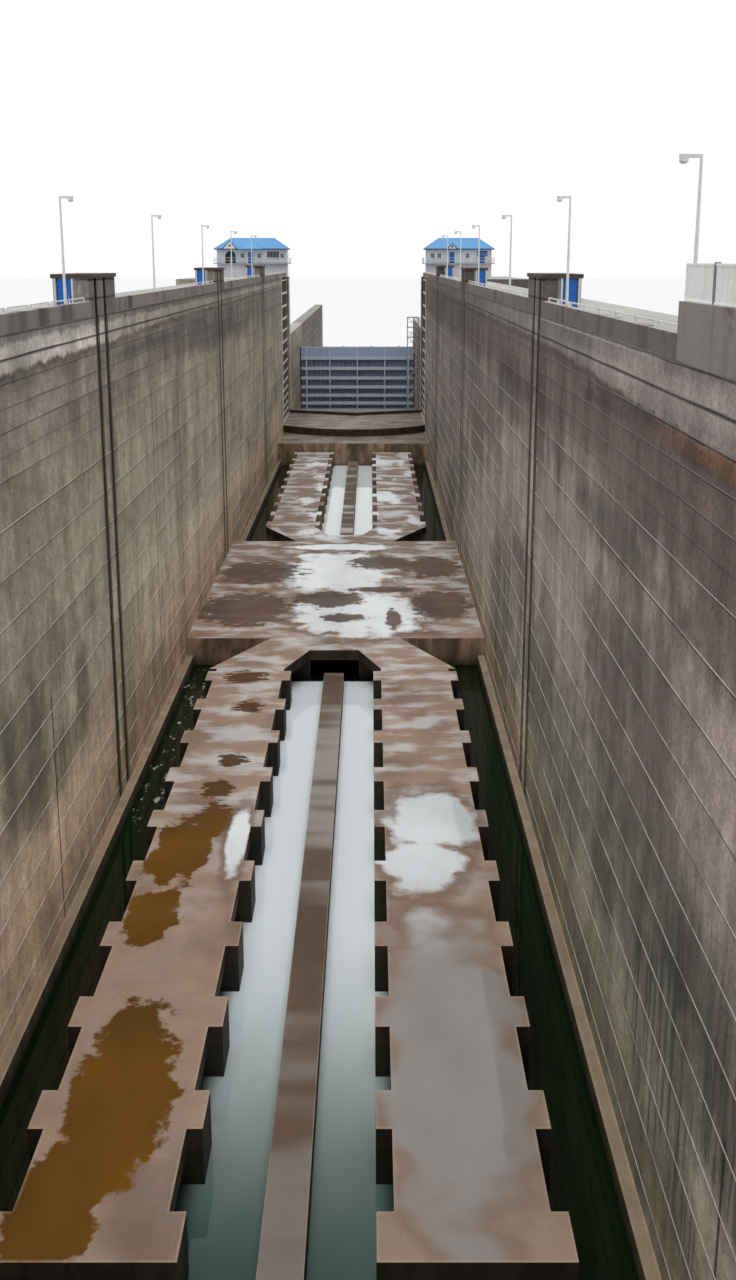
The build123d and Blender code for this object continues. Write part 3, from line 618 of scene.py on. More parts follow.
    slot_face: float = 1.3125
    slot_depth: float = 0.07
    slot_reach: float = 0.01
    slot_soft: float = 0.004
    inner_soft: float = 0.03
    guide_run: Flat = (8.4, 9.4)
    guide_shade: float = 0.3
    deck_shades: Flat = (0.85, 1.1)
    deck_grit: Flat = (0.92, 1.06)
    far_deck: float = 0.6
    sheen: Flat = (0.72, 0.92)
    relief: Flat = (0.004, 0.5)

    def line_distance(self, coat: Coat) -> Socket:
        """Gives how far a point is below the next lift line, in metres.

        Args:
            coat: The material that is drawn.

        Returns:
            The distance's socket.
        """
        away = []
        for first, lift in ((self.first_lift, self.lift), (self.first_short_lift, self.short_lift)):
            turns = coat.calc("DIVIDE", coat.calc("SUBTRACT", coat.z, first), lift)
            away.append(coat.product(coat.rest(coat.calc("FRACT", turns)), lift))
        return coat.between(away[0], away[1], coat.calc("GREATER_THAN", coat.z, self.lift_change))

    def lift_tone(self, coat: Coat) -> Socket:
        """Gives each lift a shade of its own, which wanders along the wall.

        Args:
            coat: The material that is drawn.

        Returns:
            The shade's socket.
        """
        turns = coat.calc("DIVIDE", coat.calc("SUBTRACT", coat.z, self.first_lift), self.lift)
        node = coat.nodes.new("ShaderNodeCombineXYZ")
        coat.links.new(coat.calc("MULTIPLY", coat.calc("FLOOR", turns), self.lift_turns[0]), node.inputs[0])
        coat.links.new(coat.calc("MULTIPLY", coat.y, self.lift_turns[1]), node.inputs[1])
        coat.links.new(coat.calc("SIGN", coat.x), node.inputs[2])
        pattern = coat.nodes.new("ShaderNodeTexNoise")
        pattern.inputs["Scale"].default_value = 1.0
        pattern.inputs["Detail"].default_value = 1.0
        coat.links.new(node.outputs[0], pattern.inputs["Vector"])
        return coat.vary(pattern.outputs[0], *self.lift_shades)

    def sided(self, coat: Coat, tone: str) -> Socket:
        """Gives one tone of the walls, by the side that they stand on."""
        side = coat.calc("GREATER_THAN", coat.x, 0.0)
        return coat.layer(getattr(LEFT_TONES, tone), getattr(RIGHT_TONES, tone), side)

    def slots(self, coat: Coat) -> Socket:
        """Gives 1 inside the grooves at the stations, where their painted shade goes.

        Args:
            coat: The material that is drawn.

        Returns:
            The share's socket.
        """
        out = coat.calc("ABSOLUTE", coat.x)
        back = self.slot_face + self.slot_depth
        front = coat.ease(out, self.slot_face, self.slot_face + self.slot_soft)
        reach = LAYOUT.groove_outer + self.slot_reach
        total: Amount = 0.0
        for station in LAYOUT.stations:
            total = coat.calc("MAXIMUM", coat.near(coat.y, station, reach, self.slot_soft), total)
        return coat.product(front, coat.ease(out, back + self.slot_soft, back), total)

    def tie_holes(self, coat: Coat, away: Socket) -> Socket:
        """Gives 1 in the small round holes that the formwork ties left.

        Args:
            coat: The material that is drawn.
            away: How far a point is below the next lift line.

        Returns:
            The share's socket.
        """
        turns = coat.calc("FRACT", coat.calc("DIVIDE", coat.y, self.tie_pitch))
        along = coat.product(coat.calc("SUBTRACT", turns, 0.5), self.tie_pitch)
        up = coat.calc("SUBTRACT", away, self.tie_drop)
        square = coat.calc("ADD", coat.calc("POWER", along, 2.0), coat.calc("POWER", up, 2.0))
        return coat.ease(coat.calc("SQRT", square), *self.tie_rim)

    def marks(self, coat: Coat) -> WallMarks:
        """Draws the patterns and finds the places that several tones share.

        Args:
            coat: The material that is drawn.

        Returns:
            The shared patterns.
        """
        ragged = coat.clouds(self.ragged)
        level = coat.calc("MULTIPLY_ADD", coat.calc("SUBTRACT", ragged, 0.5), self.level_sway, coat.z)
        right = coat.calc("GREATER_THAN", coat.x, 0.0)
        out = coat.calc("ABSOLUTE", coat.x)
        inner = coat.ease(out, self.slot_face + self.inner_soft, self.slot_face)
        brow = coat.product(coat.ease(level, *self.brow_levels), coat.rest(right), inner)
        falls = [coat.ease(coat.y, *fall) for fall in (self.left_fall, self.crest_fall)]
        level = coat.calc("ADD", level, coat.between(falls[0], falls[1], right))
        return WallMarks(
            broad=coat.clouds(self.broad),
            blotch=coat.clouds(self.blotch),
            mottle=coat.clouds(self.mottle),
            grit=coat.clouds(self.grit),
            streaks=coat.clouds(self.streaks),
            right=right,
            inner=inner,
            level=level,
            brow=brow,
            crest=coat.ease(level, *self.crest_levels),
            upright=coat.ease(coat.facing_z, *WALL_FACING),
        )

    def lifts_tone(self, coat: Coat, marks: WallMarks) -> Socket:
        """Lays the tones from the foot up to the crest.

        Args:
            coat: The material that is drawn.
            marks: The shared patterns.

        Returns:
            The colour's socket.
        """
        level, crest = marks.level, marks.crest
        low, high = self.sided(coat, "low"), self.sided(coat, "body")
        colour = coat.layer(low, high, coat.ease(level, *self.low_levels))
        tide = coat.product(coat.ease(level, *self.tide_levels), coat.ease(marks.broad, *self.tide_cloud))
        colour = coat.layer(colour, self.tide, tide)
        stained = coat.product(
            coat.ease(marks.broad, *self.stain_cloud),
            coat.ease(level, *self.stain_levels),
            coat.ease(marks.blotch, *self.stain_edge),
        )
        colour = coat.layer(colour, self.sided(coat, "stain"), stained)
        band = coat.product(coat.ease(level, *self.band_levels), coat.rest(crest), self.band_share)
        colour = coat.layer(colour, self.sided(coat, "band"), band)
        edge = coat.product(coat.ease(level, *self.moss_levels), coat.rest(crest))
        colour = coat.layer(colour, self.moss, coat.product(edge, coat.ease(marks.blotch, *self.moss_cloud)))
        faded = coat.between(coat.ease(coat.y, *self.left_crest), self.right_crest, marks.right)
        colour = coat.layer(colour, self.sided(coat, "crest"), coat.product(crest, faded))
        colour = coat.dim(colour, marks.brow, self.brow_shade)
        bright = coat.product(crest, marks.right, marks.inner)
        return coat.shade_where(colour, coat.ease(coat.y, *self.bright_crest), bright)

    def stains(self, coat: Coat, marks: WallMarks, colour: Socket) -> Socket:
        """Adds the wet corner, the rust line, the groove columns and the spots.

        Args:
            coat: The material that is drawn.
            marks: The shared patterns.
            colour: The colour so far.

        Returns:
            The new colour.
        """
        wander = coat.calc("MULTIPLY_ADD", marks.broad, self.wet_sway, coat.y)
        corner = coat.product(coat.near(wander, *self.wet_place), marks.right)
        corner = coat.product(corner, coat.ease(marks.level, *self.wet_levels), self.wet_share)
        colour = coat.layer(colour, self.sided(coat, "stain"), corner)
        rust = coat.product(coat.near(coat.z, *self.rust_place), coat.ease(coat.y, *self.rust_run))
        colour = coat.layer(colour, self.rust, coat.product(rust, marks.right, marks.inner, self.rust_share))
        for station in LAYOUT.stations:
            reach = LAYOUT.groove_inner - self.column_inset
            colour = coat.dim(colour, coat.near(coat.y, station, reach, self.column_soft), self.column_shade)
        wobble = coat.calc("SUBTRACT", marks.blotch, 0.5)
        for tones, side in ((LEFT_TONES, coat.rest(marks.right)), (RIGHT_TONES, marks.right)):
            for spots, factor in zip((tones.dark_spots, tones.pale_spots), self.spot_shades):
                away = coat.calc("MULTIPLY_ADD", wobble, self.spot_sway, coat.patches(spots, True))
                share = coat.product(coat.ease(away, *self.spot_edge), side, marks.inner)
                colour = coat.shade_where(colour, factor, share)
        return colour

    def weather(self, coat: Coat, marks: WallMarks, colour: Socket) -> Socket:
        """Adds blotches, the shade with distance and the long drips.

        Args:
            coat: The material that is drawn.
            marks: The shared patterns.
            colour: The colour so far.

        Returns:
            The new colour.
        """
        colour = coat.shade(colour, coat.vary(marks.blotch, *self.blotch_shades))
        colour = coat.shade(colour, coat.ease(marks.mottle, *self.mottle_shade))
        sides = coat.between(*self.far_shades, marks.right)
        far = coat.product(sides, self.whole_shade)
        colour = coat.shade(colour, coat.between(self.whole_shade, far, coat.ease(coat.y, *self.far_run)))
        dripped = coat.product(
            coat.ease(coat.clouds(self.drips), *self.drip_edge),
            coat.ease(marks.broad, *self.drip_cloud),
            coat.ease(marks.level, *self.drip_levels),
            coat.ease(marks.level, *self.drip_foot),
            coat.ease(marks.right, 0.0, 1.0, self.left_drip, 1.0),
            self.drip_share,
        )
        return coat.layer(colour, self.drip, dripped)

    def casting(self, coat: Coat, marks: WallMarks, colour: Socket) -> tuple[Socket, Socket]:
        """Adds streaks, the lift lines with a painted shadow under each lip, the pale ledge, tie holes and
        upright joints.

        Args:
            coat: The material that is drawn.
            marks: The shared patterns.
            colour: The colour so far.

        Returns:
            The new colour, and a socket that is 1 on the lift lines.
        """
        upright, crest = marks.upright, marks.crest
        faced = coat.product(upright, coat.ease(marks.inner, 0.0, 1.0, self.outer_strength, 1.0))
        streaked = coat.product(coat.ease(coat.z, *self.streak_levels), faced)
        stroke = coat.between(1.0, coat.ease(marks.streaks, *self.streak_shade), streaked)
        away = self.line_distance(coat)
        # painted shadow below each lip, darker in the crest, with a soft painted shade fading downwards
        line = coat.ease(away, coat.between(*self.line_widths, crest), self.line_core)
        dark = coat.ease(line, 0.0, 1.0, 1.0, coat.between(*self.lip_shadow_shades, crest))
        dark = coat.product(dark, coat.ease(away, *self.line_shadow), self.lift_tone(coat), stroke)
        colour = coat.shade_where(colour, dark, faced)
        ledge = coat.product(coat.near(coat.z, *self.ledge_place), marks.right, marks.inner)
        ledge = coat.product(ledge, coat.ease(coat.y, *self.ledge_near), coat.ease(coat.y, *self.ledge_far))
        ledge = coat.product(ledge, coat.ease(marks.mottle, *self.ledge_cloud))
        colour = coat.layer(colour, self.ledge_tone, ledge)
        colour = coat.shade(colour, coat.vary(marks.grit, *self.grit_shades))
        colour = coat.dim(colour, coat.product(self.tie_holes(coat, away), upright), self.tie_shade)
        for side, place, top in self.joints:
            across = coat.product(
                coat.near(coat.y, place, self.joint_half, self.joint_soft),
                coat.ease(coat.product(coat.x, side), *self.joint_side),
                coat.ease(marks.level, top + self.joint_fade, top),
                upright,
            )
            colour = coat.dim(colour, across, self.joint_shade)
        return colour, line

    def draw(self, coat: Coat) -> None:
        """Lays the wall's tones in turn, then the deck's, and the painted shade inside the grooves.

        Args:
            coat: The material that is drawn.
        """
        marks = self.marks(coat)
        colour = self.stains(coat, marks, self.lifts_tone(coat, marks))
        colour, line = self.casting(coat, marks, self.weather(coat, marks, colour))
        guide = coat.ease(coat.y, *self.guide_run)
        colour = coat.shade_where(colour, self.guide_shade, coat.product(guide, marks.inner))
        deck = coat.shade(self.deck_tone, coat.vary(marks.broad, *self.deck_shades))
        deck = coat.shade(deck, coat.ease(coat.y, *self.guide_run, 1.0, self.far_deck))
        deck = coat.shade(deck, coat.vary(marks.grit, *self.deck_grit))
        colour = coat.layer(colour, deck, coat.ease(coat.facing_z, *TOP_FACING))
        # painted shade inside the grooves
        colour = coat.layer(colour, self.slot_shade_tone, self.slots(coat))
        height = coat.calc("ADD", marks.grit, coat.calc("ADD", marks.streaks, marks.blotch))
        height = coat.calc("SUBTRACT", height, line)
        coat.finish(colour, coat.vary(marks.broad, *self.sheen), height=height, relief=self.relief)


@dataclass
class FloorMarks:
    """The patterns that several of a floor's tones are drawn from."""

    broad: Socket
    smooth: Socket
    ragged: Socket
    fine: Socket


@dataclass
class Surface:
    """What a floor shows so far: its colour, gloss and how rough it is."""

    colour: Tint
    roughness: Amount
    gloss: Socket
    index: Amount = 1.45


@dataclass(frozen=True)
class FloorConcrete(Finish):
    """Wet floor concrete with beds of silt, puddles and dry edges, a painted sheen and reflection on its
    water, and painted shade on its sides.
    """

    broad: Cloud = Cloud(2.0, (1.0, 0.55, 1.0), 7.0, 4.0, 0.5)
    smooth: Cloud = Cloud(3.4, (1.0, 1.2, 1.0), 37.0, 2.0, 0.4)
    ragged: Cloud = Cloud(6.5, seed=23.0, detail=5.0, roughness=0.6)
    fine: Cloud = Cloud(11.0, (0.8, 1.8, 1.0), 29.0, 6.0, 0.7)
    spread: Cloud = Cloud(3.0, (0.8, 2.0, 1.0), 91.0, 4.0, 0.55)
    grit: Cloud = Cloud(90.0, seed=2.0, detail=2.0)
    streaks: Cloud = Cloud(11.0, (1.0, 1.0, 0.3), 9.0, 4.0)
    blocks: Cloud = Cloud(2.2, (1.0, 1.0, 0.4), 61.0, 1.0)

    tone: Colour = (0.375, 0.255, 0.185)
    wet: Colour = (0.20, 0.13, 0.088)
    dry: Colour = (0.52, 0.38, 0.27)
    silt: Colour = (0.135, 0.058, 0.004)
    far_silt: Colour = (0.088, 0.043, 0.016)
    dark_silt: Colour = (0.085, 0.045, 0.024)
    # painted sheen and reflection: the pale colours that the wet film shows near the camera and further off
    film: Colour = (0.32, 0.30, 0.285)
    painted_reflection: Colour = (0.82, 0.86, 0.89)
    rim: Colour = (0.17, 0.105, 0.065)
    # painted shade: the upright sides are painted dark for the shade they stand in
    side: Colour = (0.045, 0.032, 0.022)
    sandy_side: Colour = (0.42, 0.29, 0.19)
    # painted shade: near black low down, towards the water
    deep: Colour = (0.012, 0.009, 0.006)

    silt_beds: tuple[Patch, ...] = ()
    dark_beds: tuple[Patch, ...] = ()
    puddles: tuple[Patch, ...] = ()

    wet_cloud: Ramp = (0.46, 0.66, 0.0, 0.8)
    ragged_shades: Flat = (0.9, 1.08)
    far_shade: Ramp = (-9.0, -3.5, 1.0, 0.62)
    calm_run: Ramp = (-11.9, -11.0, 0.35, 1.0)
    spread_share: float = 0.7
    film_cloud: Flat = (0.46, 0.60)
    film_ends: Flat = (-12.8, -12.0)
    shine: float = 0.5
    bands: Cloud | None = None
    band_cloud: Flat = (0.44, 0.62)
    damp: Flat = (0.6, 0.12)

    bed_edge: Flat = (1.06, 0.92)
    silt_change: Flat = (-11.7, -11.2)
    silt_wander: Flat = (1.5, 3.6)
    silt_shades: Flat = (0.8, 1.5)
    silt_share: float = 0.95
    silt_roughness: float = 0.8
    silt_index: float = 1.12
    dark_edge: Flat = (1.08, 0.9)
    dark_wander: float = 3.0
    dark_shades: Flat = (0.7, 1.5)
    dark_share: float = 0.92
    dark_roughness: float = 0.65
    dark_blend: float = 0.5

    shore_run: Ramp = (-12.5, -12.0, 0.1, 0.55)
    edge_run: Ramp = (-12.6, -12.0, 1.4, 1.1)
    shore_core: float = 0.8
    pool_wander: float = 2.0
    far_basin: Flat = (-4.9, -4.4)
    far_cloud: Flat = (0.5, 0.58)
    far_share: float = 0.7
    pool_rim: Ramp = (1.6, 1.1, 0.0, 0.7)
    pool_shades: Flat = (0.82, 1.05)
    pool_roughness: float = 0.03

    rim_reach: float = 0.022
    rim_cloud: Ramp = (0.35, 0.55, 0.35, 0.9)
    rim_roughness: float = 0.8
    grit_shades: Flat = (0.93, 1.06)
    block_shade: Ramp = (0.46, 0.54, 1.0, 0.55)
    side_streaks: Ramp = (0.35, 0.65, 0.55, 1.25)
    crossing: Flat = (-8.5, -8.3)
    sandy_facing: Flat = (-0.5, -0.8)
    sandy_end: Flat = (1.7, 1.66)
    deep_shade_levels: Flat = (0.70, 0.86)
    side_roughness: float = 0.7
    relief: Flat = (0.002, 0.3)

    def wander(self, coat: Coat, spots: Sequence[Patch], ragged: Socket, spread: Amount) -> Socket:
        """Gives the distance from patches, with an outline that wanders.

        Args:
            coat: The material that is drawn.
            spots: The patches.
            ragged: The pattern that breaks their outline.
            spread: How far the outline wanders, as a share of the reach.

        Returns:
            A socket that is below 1 inside and above 1 outside.
        """
        return coat.calc("MULTIPLY_ADD", coat.calc("SUBTRACT", ragged, 0.5), spread, coat.patches(spots))

    def film_gloss(self, coat: Coat, marks: FloorMarks) -> Socket:
        """Gives how strongly the film of water shines, which sets where its painted sheen colour lies and
        where it turns glossy.

        Args:
            coat: The material that is drawn.
            marks: The shared patterns.

        Returns:
            A socket from 0 to 1.
        """
        if self.bands is not None:
            return coat.product(coat.ease(coat.clouds(self.bands), *self.band_cloud), self.shine)
        calm = coat.ease(coat.y, *self.calm_run)
        film = coat.between(marks.smooth, coat.clouds(self.spread), coat.product(calm, self.spread_share))
        return coat.product(coat.ease(film, *self.film_cloud), self.shine, calm)

    def add_silt(self, coat: Coat, marks: FloorMarks, floor: Surface) -> None:
        """Lays the beds of brown silt.

        Args:
            coat: The material that is drawn.
            marks: The shared patterns.
            floor: What the floor shows so far, which is changed.
        """
        change = coat.ease(coat.y, *self.silt_change)
        edge = coat.between(marks.ragged, marks.fine, change)
        away = self.wander(coat, self.silt_beds, edge, coat.ease(change, 0.0, 1.0, *self.silt_wander))
        mud = coat.ease(away, *self.bed_edge)
        tint = coat.layer(self.silt, self.far_silt, change)
        tint = coat.shade(tint, coat.vary(marks.broad, *self.silt_shades))
        floor.colour = coat.layer(floor.colour, tint, coat.product(mud, self.silt_share))
        floor.roughness = coat.between(floor.roughness, self.silt_roughness, mud)
        floor.index = coat.between(floor.index, self.silt_index, mud)

    def add_puddles(self, coat: Coat, marks: FloorMarks, floor: Surface, sheen: Socket) -> None:
        """Lays the puddles in the painted reflection colour, with a dark rim round them.

        Args:
            coat: The material that is drawn.
            marks: The shared patterns.
            floor: What the floor shows so far, which is changed.
            sheen: The colour that the water mirrors, painted on as a reflection.
        """
        shore = coat.between(marks.smooth, marks.ragged, coat.ease(coat.y, *self.shore_run))
        away = self.wander(coat, self.puddles, shore, self.pool_wander)
        far = coat.product(coat.ease(coat.y, *self.far_basin), coat.ease(marks.broad, *self.far_cloud))
        pool = coat.ease(away, coat.ease(coat.y, *self.edge_run), self.shore_core)
        pool = coat.calc("MAXIMUM", pool, coat.product(far, self.far_share))
        rim = coat.product(coat.ease(away, *self.pool_rim), coat.rest(pool))
        floor.colour = coat.layer(floor.colour, self.rim, rim)
        # painted reflection colour of the puddles
        tint = coat.shade(sheen, coat.vary(marks.broad, *self.pool_shades))
        floor.colour = coat.layer(floor.colour, tint, pool)
        floor.roughness = coat.between(floor.roughness, self.pool_roughness, pool)
        floor.gloss = coat.calc("MAXIMUM", floor.gloss, pool)

    def add_dark_beds(self, coat: Coat, marks: FloorMarks, floor: Surface) -> None:
        """Lays the dark beds on the crossover.

        Args:
            coat: The material that is drawn.
            marks: The shared patterns.
            floor: What the floor shows so far, which is changed.
        """
        edge = coat.between(marks.ragged, marks.fine, self.dark_blend)
        mud = coat.ease(self.wander(coat, self.dark_beds, edge, self.dark_wander), *self.dark_edge)
        tint = coat.shade(self.dark_silt, coat.vary(marks.broad, *self.dark_shades))
        floor.colour = coat.layer(floor.colour, tint, coat.product(mud, self.dark_share))
        floor.roughness = coat.between(floor.roughness, self.dark_roughness, mud)

    def flank_with_shade(self, coat: Coat, streaks: Socket) -> Socket:
        """Gives the tone of the upright sides: painted shade on them, darkest low down, and sandy at the
        crossing.

        Args:
            coat: The material that is drawn.
            streaks: The pattern of the streaks.

        Returns:
            The colour's socket.
        """
        blocks = coat.ease(coat.clouds(self.blocks), *self.block_shade)
        sandy = coat.product(
            coat.ease(coat.y, *self.crossing),
            coat.ease(coat.facing_y, *self.sandy_facing),
            coat.ease(coat.y, *self.sandy_end),
        )
        # painted shade on the sides, with the crossing's sandy front face
        tone = coat.layer(self.side, coat.shade(self.sandy_side, blocks), sandy)
        tone = coat.shade(tone, coat.ease(streaks, *self.side_streaks))
        # painted shade deepening towards the water
        return coat.layer(self.deep, tone, coat.ease(coat.z, *self.deep_shade_levels))

    def draw(self, coat: Coat) -> None:
        """Lays tones, a painted sheen, silt, puddles with painted reflections and dry edges, and paints shade
        on the sides.

        Args:
            coat: The material that is drawn.
        """
        shared = (self.broad, self.smooth, self.ragged, self.fine)
        marks = FloorMarks(*(coat.clouds(cloud) for cloud in shared))
        colour = coat.layer(self.tone, self.wet, coat.ease(marks.broad, *self.wet_cloud))
        colour = coat.shade(colour, coat.vary(marks.ragged, *self.ragged_shades))
        colour = coat.shade(colour, coat.ease(coat.y, *self.far_shade))
        gloss = self.film_gloss(coat, marks)
        # painted sheen and reflection, laid where the film of water shines
        sheen = coat.layer(self.film, self.painted_reflection, coat.ease(coat.y, *self.film_ends))
        floor = Surface(coat.layer(colour, sheen, gloss), coat.between(*self.damp, gloss), gloss)
        if self.silt_beds:
            self.add_silt(coat, marks, floor)
        if self.puddles:
            self.add_puddles(coat, marks, floor, sheen)
        if self.dark_beds:
            self.add_dark_beds(coat, marks, floor)
        rims = coat.product(coat.rims(self.rim_reach), coat.ease(marks.ragged, *self.rim_cloud))
        colour = coat.layer(floor.colour, self.dry, rims)
        roughness = coat.between(floor.roughness, self.rim_roughness, rims)
        still = coat.rest(floor.gloss)
        grit, streaks = coat.clouds(self.grit), coat.clouds(self.streaks)
        colour = coat.shade_where(colour, coat.vary(grit, *self.grit_shades), still)
        top = coat.ease(coat.facing_z, *TOP_FACING)
        colour = coat.layer(self.flank_with_shade(coat, streaks), colour, top)
        height = coat.calc("ADD", coat.product(grit, still), coat.product(streaks, coat.rest(top)))
        roughness = coat.between(self.side_roughness, roughness, top)
        coat.finish(colour, roughness, height=height, relief=self.relief, ior=floor.index)


@dataclass(frozen=True)
class StillWater(Finish):
    """Turbid standing water: teal at the near end, pale with a painted sky reflection further off, and
    painted shade under the slab edges, in the mouths and in the trenches beside the walls.
    """

    drift: Cloud = Cloud(1.4, (1.0, 0.4, 1.0), 31.0, 3.0)
    flecks: Cloud = Cloud(16.0, (1.0, 0.5, 1.0), 77.0, 5.0, 0.7)
    ripple: Cloud = Cloud(28.0, (1.0, 0.6, 1.0), 1.0, 2.0)
    near_tone: Colour = (0.022, 0.075, 0.06)
    # painted sky reflection: the pale tone of the far water stands in for the sky that it mirrors
    far_tone: Colour = (0.90, 0.98, 1.0)
    # painted shade: the water in the narrow trench beside each wall is painted near black for the shade it
    # lies in
    trench_shade_tone: Colour = (0.002, 0.009, 0.001)
    trench_shades: Flat = (0.7, 1.4)
    shade_tone: Colour = (0.004, 0.006, 0.004)
    foam: Colour = (0.55, 0.60, 0.56)
    foam_cloud: Flat = (0.58, 0.66)
    foam_place: Point = (-9.7, 1.1, 0.4)
    foam_side: Flat = (-1.02, -1.1)
    sway: float = 0.8
    ends: Flat = (-14.4, -11.9)
    mouths: Point = (-6.48, 2.08, 0.03)
    channel: Flat = (0.34, 0.44)
    trench: Flat = (0.84, 0.94)
    roughness: float = 0.03
    relief: Flat = (0.0006, 0.25)
    index: float = 1.33

    def draw(self, coat: Coat) -> None:
        """Grades the channel from its own teal to a painted sky reflection along its length, paints shade in
        the mouths and under the slab edges, and darkens the trenches with painted shade.

        Args:
            coat: The material that is drawn.
        """
        drift = coat.clouds(self.drift)
        out = coat.calc("ABSOLUTE", coat.x)
        along = coat.calc("MULTIPLY_ADD", coat.calc("SUBTRACT", drift, 0.5), self.sway, coat.y)
        # painted sky reflection laid along the channel, over the water's own teal at the near end
        colour = coat.layer(self.near_tone, self.far_tone, coat.ease(along, *self.ends))
        # painted shade: the water goes near black in the mouths and under the slab edges
        colour = coat.layer(colour, self.shade_tone, coat.near(coat.y, *self.mouths))
        colour = coat.layer(colour, self.shade_tone, coat.ease(out, *self.channel))
        # painted shade of the trenches, varied by the drift pattern
        trench = coat.shade(self.trench_shade_tone, coat.vary(drift, *self.trench_shades))
        colour = coat.layer(colour, trench, coat.ease(out, *self.trench))
        froth = coat.product(
            coat.ease(coat.clouds(self.flecks), *self.foam_cloud),
            coat.near(coat.y, *self.foam_place),
            coat.ease(coat.x, *self.foam_side),
        )
        colour = coat.layer(colour, self.foam, froth)
        ripple = coat.clouds(self.ripple)
        coat.finish(colour, self.roughness, height=ripple, relief=self.relief, ior=self.index)


@dataclass(frozen=True)
class Coating(Finish):
    """Paint, render or bare metal with dirt that runs down it and a worn grain."""

    tone: Colour = (0.5, 0.5, 0.5)
    dirt: Colour = (0.2, 0.17, 0.14)
    dirt_share: float = 0.3
    roughness: Flat = (0.45, 0.65)
    streak: float = 14.0
    grain: float = 60.0
    metallic: float = 0.0
    relief: float = 0.0008
    strength: float = 0.4
    top_tone: Colour | None = None
    right_shade: float = 1.0
    run_edge: Flat = (0.5, 0.72)
    spot_edge: Flat = (0.58, 0.72)
    grain_shades: Flat = (0.94, 1.05)
    run_stretch: Point = (1.0, 1.0, 0.12)
    spot_share: float = 1.7
    spot_relief: float = 0.5
    middle: Flat = (-0.1, 0.1)
    top_facing: Flat = (0.5, 0.8)

    def draw(self, coat: Coat) -> None:
        """Lays dirt streaks and spots over the tone.

        Args:
            coat: The material that is drawn.
        """
        runs = coat.clouds(Cloud(self.streak, self.run_stretch, seed=4.0, detail=4.0))
        spots = coat.clouds(Cloud(self.streak * self.spot_share, seed=13.0, detail=5.0, roughness=0.65))
        grain = coat.clouds(Cloud(self.grain, seed=6.0, detail=2.0))
        colour = coat.shade(self.tone, coat.vary(grain, *self.grain_shades))
        colour = coat.shade(colour, coat.ease(coat.x, *self.middle, 1.0, self.right_shade))
        if self.top_tone is not None:
            colour = coat.layer(colour, self.top_tone, coat.ease(coat.facing_z, *self.top_facing))
        share = coat.calc("MAXIMUM", coat.ease(runs, *self.run_edge), coat.ease(spots, *self.spot_edge))
        colour = coat.layer(colour, self.dirt, coat.product(share, self.dirt_share))
        height = coat.calc("ADD", grain, coat.product(spots, self.spot_relief))
        roughness = coat.vary(spots, *self.roughness)
        coat.finish(colour, roughness, self.metallic, height, (self.relief, self.strength))


@dataclass(frozen=True)
class LipConcrete(Finish):
    """The lips between lifts: pale low down, and stained dark under the crest."""

    gaps: Cloud = Cloud(2.6, (1.0, 1.0, 3.0), 83.0, 5.0, 0.65)
    grit: Cloud = Cloud(60.0, seed=2.0, detail=2.0)
    tone: Colour = (0.54, 0.50, 0.44)
    stained: Colour = (0.15, 0.12, 0.10)
    crest: Colour = (0.20, 0.18, 0.17)
    levels: Flat = (3.1, 3.6)
    gap_edge: Flat = (0.5, 0.66)
    gap_share: float = 0.8
    grit_shades: Flat = (0.85, 1.1)
    roughness: float = 0.85

    def draw(self, coat: Coat) -> None:
        """Breaks the pale line up with stains that grow denser towards the crest.

        Args:
            coat: The material that is drawn.
        """
        under = coat.layer(self.tone, self.crest, coat.ease(coat.z, *self.levels))
        share = coat.product(coat.ease(coat.clouds(self.gaps), *self.gap_edge), self.gap_share)
        colour = coat.layer(under, self.stained, share)
        colour = coat.shade(colour, coat.vary(coat.clouds(self.grit), *self.grit_shades))
        coat.finish(colour, self.roughness)


@dataclass(frozen=True)
class Glazing(Finish):
    """Window glass with a little dust, painted dark for the shade of the unlit rooms behind it."""

    film: Cloud = Cloud(30.0, (1.0, 1.0, 0.5), 8.0, 4.0)
    # painted shade: the glass is painted dark for the unlit rooms behind it
    tone: Colour = (0.02, 0.032, 0.04)
    dust: Colour = (0.12, 0.14, 0.15)
    dust_share: Ramp = (0.45, 0.8, 0.0, 0.4)
    roughness: Ramp = (0.3, 0.8, 0.04, 0.2)
    index: float = 1.5

    def draw(self, coat: Coat) -> None:
        """Lays dust over glass painted dark with the shade of the rooms behind it.

        Args:
            coat: The material that is drawn.
        """
        film = coat.clouds(self.film)
        colour = coat.layer(self.tone, self.dust, coat.ease(film, *self.dust_share))
        coat.finish(colour, coat.ease(film, *self.roughness), ior=self.index)


@dataclass(frozen=True)
class AwningCloth(Finish):
    """Coated canvas with a fine weave and faded folds."""

    fade: Cloud = Cloud(12.0, (1.0, 0.6, 0.6), 19.0, 3.0)
    tone: Colour = (0.012, 0.05, 0.22)
    faded: Colour = (0.05, 0.11, 0.30)
    fade_span: Flat = (0.35, 0.7)
    thread_turns: float = 2600.0
    roughness: float = 0.7
    relief: Flat = (0.0006, 0.6)

    def draw(self, coat: Coat) -> None:
        """Lays a woven grain over faded bands.

        Args:
            coat: The material that is drawn.
        """
        warp, weft = (coat.calc("SINE", coat.product(place, self.thread_turns)) for place in (coat.x, coat.z))
        colour = coat.layer(self.tone, self.faded, coat.ease(coat.clouds(self.fade), *self.fade_span))
        coat.finish(colour, self.roughness, height=coat.product(warp, weft), relief=self.relief)


@dataclass(frozen=True)
class StudioGround(Finish):
    """The plain pale floor that the lock stands on."""

    tone: Colour = (0.74, 0.745, 0.75)
    roughness: float = 0.9

    def draw(self, coat: Coat) -> None:
        """Sets one even tone."""
        coat.finish(self.tone, self.roughness)


